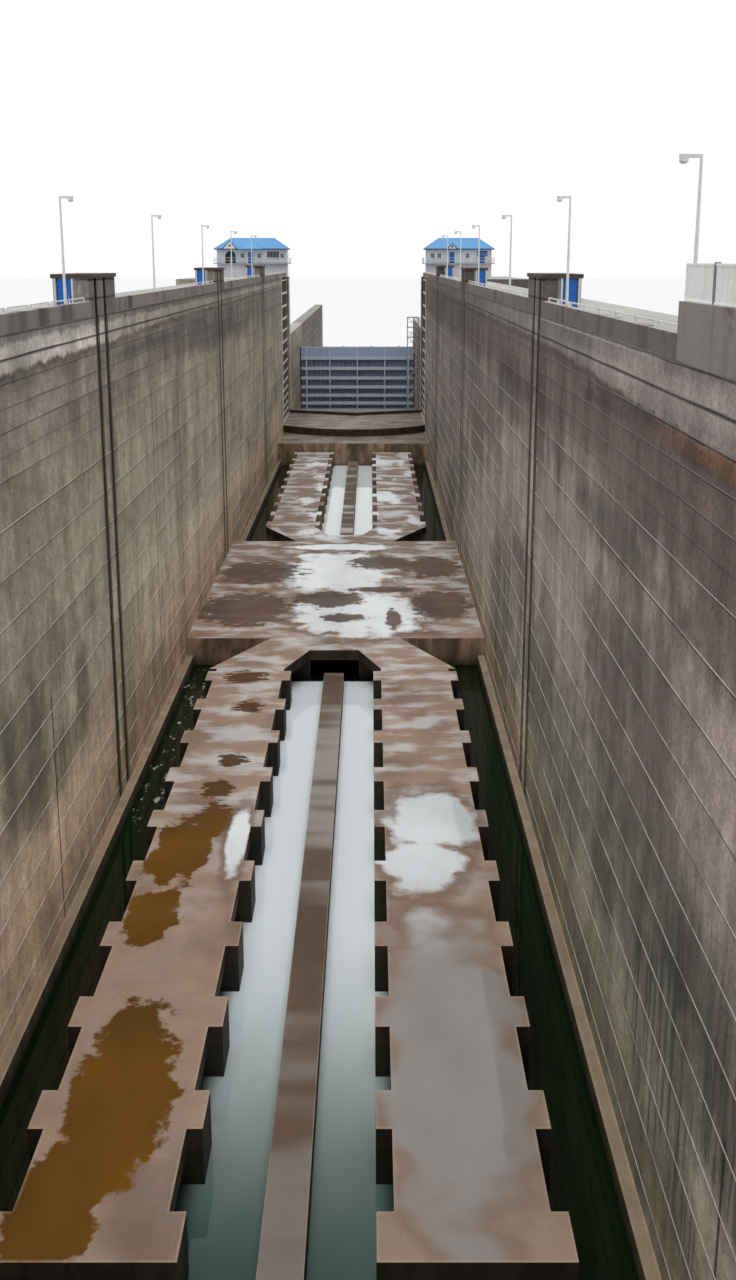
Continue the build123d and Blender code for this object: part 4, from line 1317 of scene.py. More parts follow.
SILT_BEDS = patches(
    (-0.69, -13.6, 0.2, 0.55),
    (-0.8, -14.1, 0.18, 0.35),
    (-0.81, -12.35, 0.15, 0.24),
    (-0.76, -11.75, 0.17, 0.36),
    (-0.62, -11.4, 0.12, 0.2),
    (-0.65, -11.0, 0.1, 0.12),
    (-0.61, -10.6, 0.09, 0.1),
    (-0.6, -9.71, 0.1, 0.1),
    (-0.69, -9.11, 0.16, 0.12),
)
DARK_BEDS = patches(
    (-0.88, -6.1, 0.46, 0.42),
    (-0.9, -7.35, 0.46, 0.5),
    (0.98, -5.9, 0.3, 0.42),
    (1.0, -7.2, 0.3, 0.46),
    (0.43, -5.72, 0.36, 0.26),
    (0.45, -6.72, 0.34, 0.1),
    (-0.1, -7.05, 0.34, 0.26),
    (0.05, -7.62, 0.24, 0.13),
    (0.52, -7.65, 0.07, 0.3),
)
PUDDLES = patches(
    (-0.05, -6.1, 0.6, 0.8),
    (0.2, -7.45, 0.6, 0.7),
    (0.0, -5.05, 0.6, 0.14),
    (0.66, -13.35, 0.26, 0.8),
    (0.61, -11.88, 0.24, 0.27),
    (0.66, -11.4, 0.28, 0.34),
    (-0.45, -11.6, 0.07, 0.4),
)

WALL = WallConcrete("cast_wall_concrete", "wall_concrete")
TOWER_FACE = WallConcrete("tower_face_concrete", "wall_concrete", whole_shade=0.62)
FLOOR = FloorConcrete(
    "wet_floor_concrete",
    "floor_concrete",
    silt_beds=SILT_BEDS,
    dark_beds=DARK_BEDS,
    puddles=PUDDLES,
)
# painted shade: the chamber floor and port piers under the slabs are painted near black for the shade they
# lie in, over dark wet concrete
SUBMERGED_SHADE = FloorConcrete(
    "submerged_concrete",
    "floor_concrete",
    tone=(0.10, 0.08, 0.06),
    wet=(0.05, 0.04, 0.03),
    side=(0.03, 0.024, 0.017),
    dry=(0.06, 0.05, 0.035),
    shine=0.0,
)
DIVIDER = FloorConcrete(
    "divider_concrete",
    "floor_concrete",
    tone=(0.16, 0.10, 0.06),
    wet=(0.11, 0.065, 0.035),
    # painted sheen and reflection on the divider's wet bands
    film=(0.27, 0.225, 0.19),
    painted_reflection=(0.36, 0.31, 0.27),
    rim_reach=0.01,
    shine=0.85,
    bands=Cloud(3.0, (0.25, 1.0, 1.0), 51.0, 2.0, 0.4),
)
LEDGE = FloorConcrete(
    "ledge_concrete",
    "floor_concrete",
    tone=(0.33, 0.255, 0.165),
    wet=(0.22, 0.16, 0.10),
    shine=0.1,
    # painted shade on the ledges' sides
    side=(0.10, 0.075, 0.05),
)
SILL = FloorConcrete(
    "sill_concrete",
    "floor_concrete",
    tone=(0.275, 0.205, 0.145),
    wet=(0.11, 0.072, 0.05),
    # painted reflection on the sill's wet film
    painted_reflection=(0.42, 0.40, 0.38),
    shine=0.3,
    # painted shade on the sill's sides, deepest low down
    side=(0.05, 0.03, 0.022),
    deep=(0.05, 0.032, 0.024),
)
WATER = StillWater("still_water", "floor_concrete")
LIP = LipConcrete("lift_lip_concrete", "wall_concrete")
GLASS = Glazing("dark_window_glass", "window_glass")
CLOTH = AwningCloth("awning_canvas", "awning_blue")
GROUND = StudioGround("studio_ground_tone", "")

# Each row: name, slot, tone, dirt, share of dirt, roughness, scale of the streaks.
TOWER = Coating(
    "tower_concrete", "wall_concrete", (0.36, 0.37, 0.37), (0.13, 0.11, 0.10), 0.5, (0.75, 0.92), 16.0,
    relief=0.002,
)
PARAPET = Coating(
    "parapet_concrete", "wall_concrete", (0.22, 0.19, 0.178), (0.045, 0.035, 0.03), 0.9, (0.75, 0.92), 4.0,
    relief=0.002, top_tone=(0.42, 0.40, 0.375), right_shade=0.75,
)
RAISED = Coating(
    "raised_parapet_concrete", "wall_concrete", (0.265, 0.24, 0.226), (0.08, 0.06, 0.05), 0.8, (0.75, 0.92),
    5.0, relief=0.002, top_tone=(0.42, 0.40, 0.375),
)
CAP = Coating(
    "tower_cap_stain", "wall_concrete", (0.075, 0.052, 0.045), (0.035, 0.028, 0.025), 0.5, (0.7, 0.9)
)
RENDER = Coating(
    "house_render_paint", "house_render", (0.60, 0.62, 0.665), (0.35, 0.35, 0.36), 0.3, (0.75, 0.9),
    grain=120.0,
)
ROOFING = Coating(
    "roof_sheet_paint", "roof_metal", (0.095, 0.305, 0.575), (0.20, 0.31, 0.42), 0.35, (0.35, 0.5), 9.0
)
NAVY = Coating("eaves_navy_paint", "roof_metal", (0.01, 0.03, 0.14), (0.05, 0.06, 0.09), 0.3, (0.4, 0.55))
DOOR_BLUE = Coating("door_blue_paint", "blue_door", (0.008, 0.13, 0.52), (0.05, 0.10, 0.22), 0.3, (0.3, 0.45))
WHITE = Coating("white_gloss_paint", "white_metal", (0.74, 0.76, 0.75), (0.38, 0.33, 0.27), 0.35, (0.3, 0.5))
POST_GREY = Coating("post_grey_paint", "white_metal", (0.20, 0.20, 0.205), (0.12, 0.10, 0.08), 0.4)
PANEL = Coating("guard_panel_paint", "white_metal", (0.90, 0.93, 0.91), (0.55, 0.50, 0.43), 0.25, (0.3, 0.5))
BULKHEAD_EDGE = Coating(
    "bulkhead_edge_paint", "bulkhead_steel", (0.60, 0.67, 0.78), (0.34, 0.35, 0.38), 0.4, streak=10.0
)
BULKHEAD = Coating(
    "bulkhead_blue_grey", "bulkhead_steel", (0.40, 0.49, 0.68), (0.24, 0.26, 0.33), 0.4, (0.4, 0.6), 10.0,
    top_tone=(0.30, 0.34, 0.42),
)
GATE = Coating(
    "gate_weathered_paint", "gate_steel", (0.16, 0.14, 0.125), (0.10, 0.055, 0.035), 0.6, (0.5, 0.7), 9.0
)
FLANGE = Coating(
    "gate_flange_paint", "gate_steel", (0.52, 0.50, 0.46), (0.20, 0.12, 0.07), 0.6, (0.5, 0.7), 12.0
)
SEAL = Coating("seal_rubber", "gate_steel", (0.025, 0.025, 0.026), (0.09, 0.08, 0.07), 0.4, (0.6, 0.8))
DARK_STEEL = Coating(
    "groove_guide_steel", "plain_steel", (0.10, 0.085, 0.075), (0.17, 0.09, 0.05), 0.5, (0.6, 0.85), 12.0
)
GALVANISED = Coating(
    "galvanised_steel", "plain_steel", (0.34, 0.34, 0.335), (0.18, 0.16, 0.14), 0.4, (0.35, 0.55), 24.0,
    metallic=0.6,
)
LENS = Coating("lamp_lens", "white_metal", (0.72, 0.72, 0.68), (0.5, 0.47, 0.4), 0.2, (0.2, 0.35))


def about(middle: float, half: float) -> Flat:
    """Gives the two ends of a span from its middle and half its length."""
    return middle - half, middle + half


def rungs(first: float, spaces: int, widths: Flat) -> list[float]:
    """Lists levels whose spaces widen evenly upwards.

    Args:
        first: The lowest level.
        spaces: How many spaces there are.
        widths: The lowest and the highest space.

    Returns:
        The levels, from the foot up.
    """
    found, (low, high) = [first], widths
    for space in range(spaces):
        found.append(found[-1] + low + (high - low) * space / (spaces - 1))
    return found


@dataclass
class Draft:
    """The points and faces of one piece, before it is made."""

    points: list[Point] = field(default_factory=list)
    faces: list[tuple[int, ...]] = field(default_factory=list)

    def loft(self, rings: Sequence[Sequence[Point]]) -> None:
        """Joins rings of equal length into one skin with closed ends.

        Args:
            rings: The rings, in order.
        """
        start, size = len(self.points), len(rings[0])
        for ring in rings:
            self.points.extend(ring)
        for row in range(len(rings) - 1):
            low = start + row * size
            for step in range(size):
                turn = (step + 1) % size
                self.faces.append((low + step, low + turn, low + size + turn, low + size + step))
        last = start + (len(rings) - 1) * size
        self.faces.append(tuple(range(start + size - 1, start - 1, -1)))
        self.faces.append(tuple(range(last, last + size)))

    def section(self, outline: Sequence[Flat], axis: Axis, start: float, end: float) -> None:
        """Draws a flat outline out along an axis.

        Args:
            outline: The outline, in the two other axes in their order.
            axis: The axis that it is drawn along.
            start: Where it starts on that axis.
            end: Where it ends.
        """
        rings = []
        for place in (start, end):
            ring = []
            for first, second in outline:
                point = [first, second]
                point.insert(axis.value, place)
                ring.append((point[0], point[1], point[2]))
            rings.append(ring)
        self.loft(rings)

    def block(self, x: Flat, y: Flat, z: Flat, chamfer: float = 0.0) -> None:
        """Adds a block, with its four long edges chamfered if asked.

        Args:
            x: Its two ends across the lock.
            y: Its two ends along the lock.
            z: Its two levels.
            chamfer: The chamfer's width, or 0 for none.
        """
        spans = [(min(span), max(span)) for span in (x, y, z)]
        longest = max(range(3), key=lambda axis: spans[axis][1] - spans[axis][0])
        (low_u, high_u), (low_v, high_v) = [span for axis, span in enumerate(spans) if axis != longest]
        cut = min(chamfer, (high_u - low_u) / CHAMFER_PARTS, (high_v - low_v) / CHAMFER_PARTS)
        outline = [(low_u, low_v), (high_u, low_v), (high_u, high_v), (low_u, high_v)]
        if cut > 0.0:
            outline = [
                *((low_u + cut, low_v), (high_u - cut, low_v), (high_u, low_v + cut), (high_u, high_v - cut)),
                *((high_u - cut, high_v), (low_u + cut, high_v), (low_u, high_v - cut), (low_u, low_v + cut)),
            ]
        self.section(outline, Axis(longest), *spans[longest])

    def rod(
        self, start: Point, end: Point, radius: float, sides: int = 8, end_radius: float | None = None
    ) -> None:
        """Adds a round bar between two points.

        Args:
            start: The middle of one end.
            end: The middle of the other.
            radius: The radius at the start.
            sides: How many flat sides it has.
            end_radius: The radius at the end, if it differs.
        """
        first, last = Vector(start), Vector(end)
        way = (last - first).normalized()
        helper = Vector((0.0, 0.0, 1.0)) if abs(way.z) < STEEP else Vector((1.0, 0.0, 0.0))
        across = way.cross(helper).normalized()
        up = way.cross(across)
        rings = []
        for middle, size in ((first, radius), (last, radius if end_radius is None else end_radius)):
            ring = []
            for step in range(sides):
                turn = math.tau * step / sides
                point = middle + across * (math.cos(turn) * size) + up * (math.sin(turn) * size)
                ring.append((point.x, point.y, point.z))
            rings.append(ring)
        self.loft(rings)

    def make(self, name: str, finish: Finish, body: str = FIXED) -> None:
        """Makes the piece, dresses it and lets it ride on a body.

        Args:
            name: The piece's name.
            finish: What covers it.
            body: The body that it moves with.
        """
        mesh = bpy.data.meshes.new(name)
        mesh.from_pydata(self.points, [], self.faces)
        shell = bmesh.new()
        shell.from_mesh(mesh)
        bmesh.ops.recalc_face_normals(shell, faces=shell.faces)
        shell.to_mesh(mesh)
        shell.free()
        mesh.materials.append(finish.material())
        piece = bpy.data.objects.new(name, mesh)
        bpy.context.scene.collection.objects.link(piece)
        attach(piece, body)
        log.info("%s: %d faces on %s", name, len(self.faces), body)


@dataclass
class Assembly:
    """A sub-assembly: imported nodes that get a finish, and pieces of its own."""

    covers: ClassVar[dict[Finish, tuple[str, ...]]] = {}

    def dress(self) -> None:
        """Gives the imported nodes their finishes."""
        for finish, nodes in self.covers.items():
            for node in nodes:
                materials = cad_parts[node].data.materials
                materials.clear()
                materials.append(finish.material())
                log.info("%s: dressed in %s", node, finish.name)

    def build(self) -> None:
        """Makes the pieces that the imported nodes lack, which may be none."""


@dataclass
class ChamberWalls(Assembly):
    """The two lines of wall, with the lips that the lifts of formwork left."""

    covers: ClassVar = {
        WALL: (
            "left_chamber_wall",
            "right_chamber_wall",
            "gate_face_walls",
            "gate_backing_walls",
            "tail_and_guide_walls",
            "recess_footings",
        )
    }
    low_levels: tuple[float, ...] = (0.94, 1.155, 1.37, 1.585, 1.80, 2.015, 2.23, 2.445, 2.66, 2.875, 3.09)
    high_levels: tuple[float, ...] = (3.30, 3.51, 3.617, 3.724, 3.831, 3.934)
    lip_height: float = 0.0036
    lip_depth: float = 0.0025
    lip_edges: Flat = (0.5, 0.6)
    step: float = 0.14
    seed_pace: float = 3.0
    level_sway: Point = (1.0, 0.0, 0.0035)
    height_sway: Point = (3.0, 9.0, 0.001)
    depth_sway: Point = (4.0, 4.0, 0.0012)
    sway_pace: Flat = (2.3, 5.7)
    guide_thickness: float = 0.003
    guide_width: float = 0.012
    guide_foot: float = 0.86
    guide_chamfer: float = 0.001
    guard_gap: float = 0.035
    bulkhead_gap: float = 0.02
    tail_tops: tuple[float, float] = (2.79, 2.91)
    recess: Flat = (2.83, 4.49)

    def sway(self, place: float, seed: float, way: Point) -> float:
        """Gives a small steady wobble for a place along a line.

        Args:
            place: The place.
            seed: The line's own number.
            way: How fast it wobbles, a shift of the number, and how far it reaches.

        Returns:
            The wobble, in metres.
        """
        pace, shift, reach = way
        quick, spread = self.sway_pace
        return noise(Vector((place * pace * quick, (seed + shift) * spread, seed + shift))) * reach

    def runs(self, hand: Hand, level: float) -> list[Flat]:
        """Lists the stretches of wall, between the grooves and openings, that get a lip.

        Args:
            hand: The wall's side.
            level: The lip's level.

        Returns:
            Where each stretch starts and ends.
        """
        marks = [LAYOUT.chamber_start]
        for station in LAYOUT.stations:
            marks += [station - LAYOUT.groove_outer, station - LAYOUT.groove_inner]
            marks += [station + LAYOUT.groove_inner, station + LAYOUT.groove_outer]
        marks += [LAYOUT.chamber_end, LAYOUT.chamber_end, self.recess[0]]
        marks += [self.recess[1], LAYOUT.tail_start - self.guard_gap]
        if level < self.tail_tops[hand is Hand.RIGHT]:
            marks += [LAYOUT.tail_start, LAYOUT.bulkhead[0] - self.bulkhead_gap]
            marks += [LAYOUT.bulkhead[1] + self.bulkhead_gap]
            marks += [LAYOUT.guide_end if hand is Hand.LEFT else LAYOUT.wall_end]
        return list(zip(marks[::2], marks[1::2]))

    def lip(self, draft: Draft, hand: Hand, run: Flat, level: float) -> None:
        """Adds one lip along a stretch of wall.

        Args:
            draft: The piece that it becomes a part of.
            hand: The wall's side.
            run: Where the stretch starts and ends.
            level: The lip's level.
        """
        count = max(1, round((run[1] - run[0]) / self.step))
        face = hand.value * LAYOUT.half_chamber
        seed = level * self.seed_pace + hand.value
        rings = []
        for index in range(count + 1):
            y = run[0] + (run[1] - run[0]) * index / count
            middle = level + self.sway(y, seed, self.level_sway)
            half = self.lip_height / 2 + self.sway(y, seed, self.height_sway)
            inner = face - hand.value * (self.lip_depth + self.sway(y, seed, self.depth_sway))
            low, high = (half * share for share in self.lip_edges)
            outer = [(face, y, middle - half), (face, y, middle + half)]
            rings.append([outer[0], (inner, y, middle - low), (inner, y, middle + high), outer[1]])
        draft.loft(rings)

    def build(self) -> None:
        """Makes the lips of both sides and the steel guides of the grooves."""
        for hand in Hand:
            draft = Draft()
            for level in self.low_levels + self.high_levels:
                for run in self.runs(hand, level):
                    self.lip(draft, hand, run, level)
            draft.make(f"{hand.side}_lift_lips", LIP)
        guides = Draft()
        inner, outer, width = LAYOUT.groove_inner, LAYOUT.groove_outer, self.guide_width
        for hand in Hand:
            x = hand.span(LAYOUT.half_chamber, LAYOUT.half_chamber - self.guide_thickness)
            for station in LAYOUT.stations:
                for mark in (-outer - width, -inner, inner - width, outer):
                    y = (station + mark, station + mark + width)
                    guides.block(x, y, (self.guide_foot, LAYOUT.deck), self.guide_chamfer)
        guides.make("groove_guides", DARK_STEEL)


@dataclass
class FloorWorks(Assembly):
    """The floors, culvert roofs, piers, dividers and sills."""

    covers: ClassVar = {
        FLOOR: ("crossover_block", "splayed_roof_slabs", "culvert_roofs"),
        SUBMERGED_SHADE: ("chamber_floor", "port_piers"),
        DIVIDER: ("centre_dividers",),
        LEDGE: ("wall_ledges",),
        SILL: ("gate_bay_floors", "gate_sweep_floors", "gate_sills", "tail_apron"),
    }


@dataclass
class BasinWater(Assembly):
    """The water that stands in the channels, trenches and mouths."""

    level: float = 0.75
    thickness: float = 0.012
    divider: float = 0.082
    ledge: float = 1.255
    mouth: float = 0.208
    mouth_length: float = 0.88
    clear: float = 0.002
    cell: float = 0.12
    ripple: float = 0.0005
    ripple_pace: float = 6.0
    basins: tuple[Flat, ...] = ((-15.4, -8.185), (-4.775, 1.465))
    divider_ends: tuple[Flat, ...] = ((-14.345, -8.61), (-4.35, 1.385))

    def sheet(self, draft: Draft, x: Flat, y: Flat) -> None:
        """Adds one closed sheet of water with a faintly rippled top.

        Args:
            draft: The piece that it becomes a part of.
            x: Its two ends across the lock.
            y: Its two ends along the lock.
        """
        columns = max(1, round((x[1] - x[0]) / self.cell))
        rows = max(1, round((y[1] - y[0]) / self.cell))
        start, wide = len(draft.points), columns + 1
        for base, ripple in ((self.level - self.thickness, 0.0), (self.level, self.ripple)):
            for row in range(rows + 1):
                for column in range(wide):
                    place = (x[0] + (x[1] - x[0]) * column / columns, y[0] + (y[1] - y[0]) * row / rows)
                    lift = noise(Vector((place[0] * self.ripple_pace, place[1] * self.ripple_pace, 1.0)))
                    draft.points.append((*place, base + lift * ripple))
        size = wide * (rows + 1)
        for row in range(rows):
            for column in range(columns):
                low = start + row * wide + column
                quad = (low, low + 1, low + wide + 1, low + wide)
                draft.faces.append(quad[::-1])
                draft.faces.append(tuple(size + corner for corner in quad))
        rim = [start + column for column in range(wide)]
        rim += [start + row * wide + columns for row in range(1, rows + 1)]
        rim += [start + rows * wide + column for column in range(columns - 1, -1, -1)]
        rim += [start + row * wide for row in range(rows - 1, 0, -1)]
        for first, second in zip(rim, rim[1:] + rim[:1]):
            draft.faces.append((first, second, second + size, first + size))

    def build(self) -> None:
        """Makes the water of the upstream and the downstream basin."""
        clear = self.clear
        both = zip(("upstream", "downstream"), self.basins, self.divider_ends, (1, -1))
        for name, basin, divider, way in both:
            draft = Draft()
            low, high = basin[0] + clear, basin[1] - clear
            cuts = sorted((low, divider[0], divider[1], high))
            for hand in Hand:
                inner, outer = sorted(hand.span(self.divider + clear, self.ledge - clear))
                self.sheet(draft, (inner, outer), (low, high))
            for first, second in ((cuts[0], cuts[1]), (cuts[2], cuts[3])):
                self.sheet(draft, about(0.0, self.divider + clear), (first, second))
            face = basin[1] if way > 0 else basin[0]
            start, end = sorted((face - way * clear, face + way * self.mouth_length))
            self.sheet(draft, about(0.0, self.mouth - clear), (start, end))
            draft.make(f"{name}_basin_water", WATER)


@dataclass
class BittTowers(Assembly):
    """The towers and service rooms at each station, with their caps and doors."""

    covers: ClassVar = {
        TOWER_FACE: ("bitt_towers",),
        TOWER: ("service_room_far_walls", "service_room_end_walls"),
        CAP: ("service_room_roofs",),
        DOOR_BLUE: (
            "fixed_doors",
            *(f"{side}_room_{number}_door" for side in ("left", "right") for number in (2, 3, 4)),
        ),
    }
    cap_drip: float = 0.002
    cap_width: float = 0.009
    cap_reach: float = 0.03
    cap_lead: float = 0.01
    cap_chamfer: float = 0.002
    door_run: Flat = (1.4295, 1.5137)
    door_levels: Flat = (3.946, 4.1525)
    door_face: float = 0.0052
    door_gap: float = 0.003
    frame_width: float = 0.011
    frame_depths: Flat = (0.0005, 0.008)
    frame_lift: float = 0.001
    frame_chamfer: float = 0.0015
    handle_radius: float = 0.0022
    handle_inset: float = 0.012
    handle_halves: Flat = (0.012, 0.016)
    handle_proud: float = 0.006
    slats: int = 4
    slat_foot: float = 0.03
    slat_pitch: float = 0.008
    slat_height: float = 0.004
    slat_inset: float = 0.024
    slat_proud: float = 0.0015
    slat_chamfer: float = 0.0005

    def cap(self, draft: Draft, hand: Hand, front: float) -> None:
        """Adds the drip edge round one roof.

        Args:
            draft: The piece that it becomes a part of.
            hand: The room's side.
            front: The room's upstream end.
        """
        far, width = LAYOUT.room_far + self.cap_reach, self.cap_width
        ends = (front - self.cap_lead, front + LAYOUT.tower_length + self.cap_lead)
        levels = (LAYOUT.room_top - self.cap_drip, LAYOUT.room_top)
        for end, way in zip(ends, (-1, 1)):
            y = (end, end - way * width)
            draft.block(hand.span(LAYOUT.half_chamber, far), y, levels, self.cap_chamfer)
        y = (ends[0] + width, ends[1] - width)
        draft.block(hand.span(far, far - width), y, levels, self.cap_chamfer)

    def doorway(self, draft: Draft, hand: Hand, front: float) -> None:
        """Adds the pale frame round one doorway.

        Args:
            draft: The piece that it becomes a part of.
            hand: The room's side.
            front: The room's upstream face.
        """
        near, far = self.door_run[0] - self.door_gap, self.door_run[1] + self.door_gap
        head, width = self.door_levels[1] + self.door_gap, self.frame_width
        shut, proud = self.frame_depths
        y = (front - shut, front - proud)
        for run in ((near - width, near), (far, far + width)):
            draft.block(hand.span(*run), y, (LAYOUT.deck + self.frame_lift, head + width), self.frame_chamfer)
        draft.block(hand.span(near, far), y, (head, head + width), self.frame_chamfer)

    def handle(self, hand: Hand, front: float, number: int) -> None:
        """Makes the bow handle and the vent slats of one door.

        Args:
            hand: The room's side.
            front: The room's upstream face.
            number: The station's number, which names the door's body.
        """
        (near, far), (sill, head) = self.door_run, self.door_levels
        face = front - self.door_face
        proud = face - self.handle_proud
        fittings = Draft()
        x = hand.value * (near + self.handle_inset)
        feet, ends = (about((sill + head) / 2, half) for half in self.handle_halves)
        for level in feet:
            fittings.rod((x, face, level), (x, proud, level), self.handle_radius)
        fittings.rod((x, proud, ends[0]), (x, proud, ends[1]), self.handle_radius)
        for row in range(self.slats):
            level = sill + self.slat_foot + row * self.slat_pitch
            x_run = hand.span(near + self.slat_inset, far - self.slat_inset)
            levels = (level, level + self.slat_height)
            fittings.block(x_run, (face, face - self.slat_proud), levels, self.slat_chamfer)
        body = FIXED if number == 1 else f"{hand.side}_room_{number}_door_leaf"
        fittings.make(f"{hand.side}_room_{number}_door_fittings", GALVANISED, body)

    def build(self) -> None:
        """Makes the cap edges, the door frames and the doors' fittings."""
        caps, frames = Draft(), Draft()
        for hand in Hand:
            for number, station in enumerate(LAYOUT.stations, 1):
                front = station - LAYOUT.tower_lead
                self.cap(caps, hand, front)
                self.doorway(frames, hand, front)
                self.handle(hand, front, number)
        caps.make("tower_cap_edges", CAP)
        frames.make("service_door_frames", WHITE)


@dataclass
class Parapets(Assembly):
    """The low walls along the chamber, with rails and ribbed guard panels."""

    covers: ClassVar = {
        PARAPET: ("parapets",),
        RAISED: ("raised_parapets",),
        WHITE: ("parapet_rails",),
        PANEL: ("guard_panels",),
    }
    panel_starts: tuple[float, ...] = (-15.04, -14.72, -14.4, -14.08)
    panel_length: float = 0.29
    panel_pitch: float = 0.32
    panel_face: float = 1.3315
    panel_thickness: float = 0.006
    panel_levels: Flat = (4.13, 4.25)
    rib_pitch: float = 0.0145
    rib_width: float = 0.006
    rib_depth: float = 0.003
    rib_insets: Flat = (0.004, 0.008)
    rib_chamfer: float = 0.001
    rail_reach: float = 0.005
    rail_chamfer: float = 0.002
    foot_height: float = 0.006
    post_width: float = 0.018
    post_rise: float = 0.004

    def build(self) -> None:
        """Makes the ribs, edge rails and posts of the guard panels."""
        ribs, posts = Draft(), Draft()
        (foot, top), (inset, drop) = self.panel_levels, self.rib_insets
        back = self.panel_face + self.panel_thickness
        gap = (self.panel_pitch - self.panel_length - self.post_width) / 2
        for hand in Hand:
            for start in self.panel_starts:
                for index in range(int(self.panel_length / self.rib_pitch)):
                    y = start + inset + index * self.rib_pitch
                    for face, way in ((self.panel_face, -1), (back, 1)):
                        x = hand.span(face, face + way * self.rib_depth)
                        ribs.block(x, (y, y + self.rib_width), (foot + inset, top - drop), self.rib_chamfer)
            ends = (self.panel_starts[0], self.panel_starts[-1] + self.panel_length)
            x = hand.span(self.panel_face - self.rail_reach, back + self.rail_reach)
            ribs.block(x, ends, (top - drop, top), self.rail_chamfer)
            ribs.block(x, ends, (foot, foot + self.foot_height), self.rib_chamfer)
            for start in self.panel_starts[:-1]:
                y = start + self.panel_length + gap
                posts.block(x, (y, y + self.post_width), (foot, top + self.post_rise), self.rail_chamfer)
        ribs.make("guard_panel_ribs", PANEL)
        posts.make("guard_panel_posts", POST_GREY)


@dataclass
class MitreGates(Assembly):
    """The two pairs of leaves, with girder flanges and mitre strips."""

    covers: ClassVar = {
        GATE: (
            "upper_left_leaf",
            "upper_right_leaf",
            *(f"lower_{side}_leaf_{part}" for part in ("frame", "skin") for side in ("left", "right")),
        ),
        WHITE: ("corner_guards",),
    }
    leaf_bottom: float = 1.28
    leaf_top: float = 3.899
    spaces: int = 14
    space_range: Flat = (0.125, 0.248)
    plate: float = 0.008
    pivot_x: float = 1.41
    lower_pivot: float = 4.4
    upper_pivot: float = -17.36
    shut_angle: float = 71.5
    half_leaf: float = 0.08
    flange_half: float = 0.021
    flange_run: Flat = (0.05, 1.405)
    flange_depth: Flat = (-0.004, 0.0015)
    post_reach: Flat = (1.41, 1.452)
    post_depth: Flat = (-0.003, 0.0025)

    def outline(self, hand: Hand, pivot: float, angle: float, run: Flat, depth: Flat) -> list[Flat]:
        """Gives the corners of a strip on a leaf, seen from above.

        Args:
            hand: The leaf's side.
            pivot: The pivot's place along the lock.
            angle: How far the leaf is turned out of its recess, in degrees.
            run: The strip's two ends, from the pivot towards the mitre.
            depth: Its two faces, from the leaf's face towards the chamber.

        Returns:
            Four corners, as places across and along the lock.
        """
        turn, side = math.radians(angle), hand.value
        along = (-side * math.sin(turn), -math.cos(turn))
        out = (-side * math.cos(turn), math.sin(turn))
        low, high = (self.half_leaf + edge for edge in depth)
        corners = ((run[0], low), (run[1], low), (run[1], high), (run[0], high))
        return [
            (side * self.pivot_x + along[0] * far + out[0] * deep, pivot + along[1] * far + out[1] * deep)
            for far, deep in corners
        ]

    def build(self) -> None:
        """Makes the girder flanges and the strips down the mitre."""
        for name, pivot, angle in (
            ("lower", self.lower_pivot, 0.0),
            ("upper", self.upper_pivot, self.shut_angle),
        ):
            for hand in Hand:
                body = f"{hand.side}_gate" if name == "lower" else FIXED
                flanges, strip = Draft(), Draft()
                outline = self.outline(hand, pivot, angle, self.flange_run, self.flange_depth)
                for level in rungs(self.leaf_bottom, self.spaces, self.space_range):
                    low, high = about(level + self.plate / 2, self.flange_half)
                    low, high = max(self.leaf_bottom, low), min(self.leaf_top, high)
                    flanges.section(outline, Axis.Z, low, high)
                flanges.make(f"{name}_{hand.side}_leaf_flanges", FLANGE, body)
                outline = self.outline(hand, pivot, angle, self.post_reach, self.post_depth)
                strip.section(outline, Axis.Z, self.leaf_bottom, self.leaf_top)
                strip.make(f"{name}_{hand.side}_mitre_strip", GALVANISED, body)


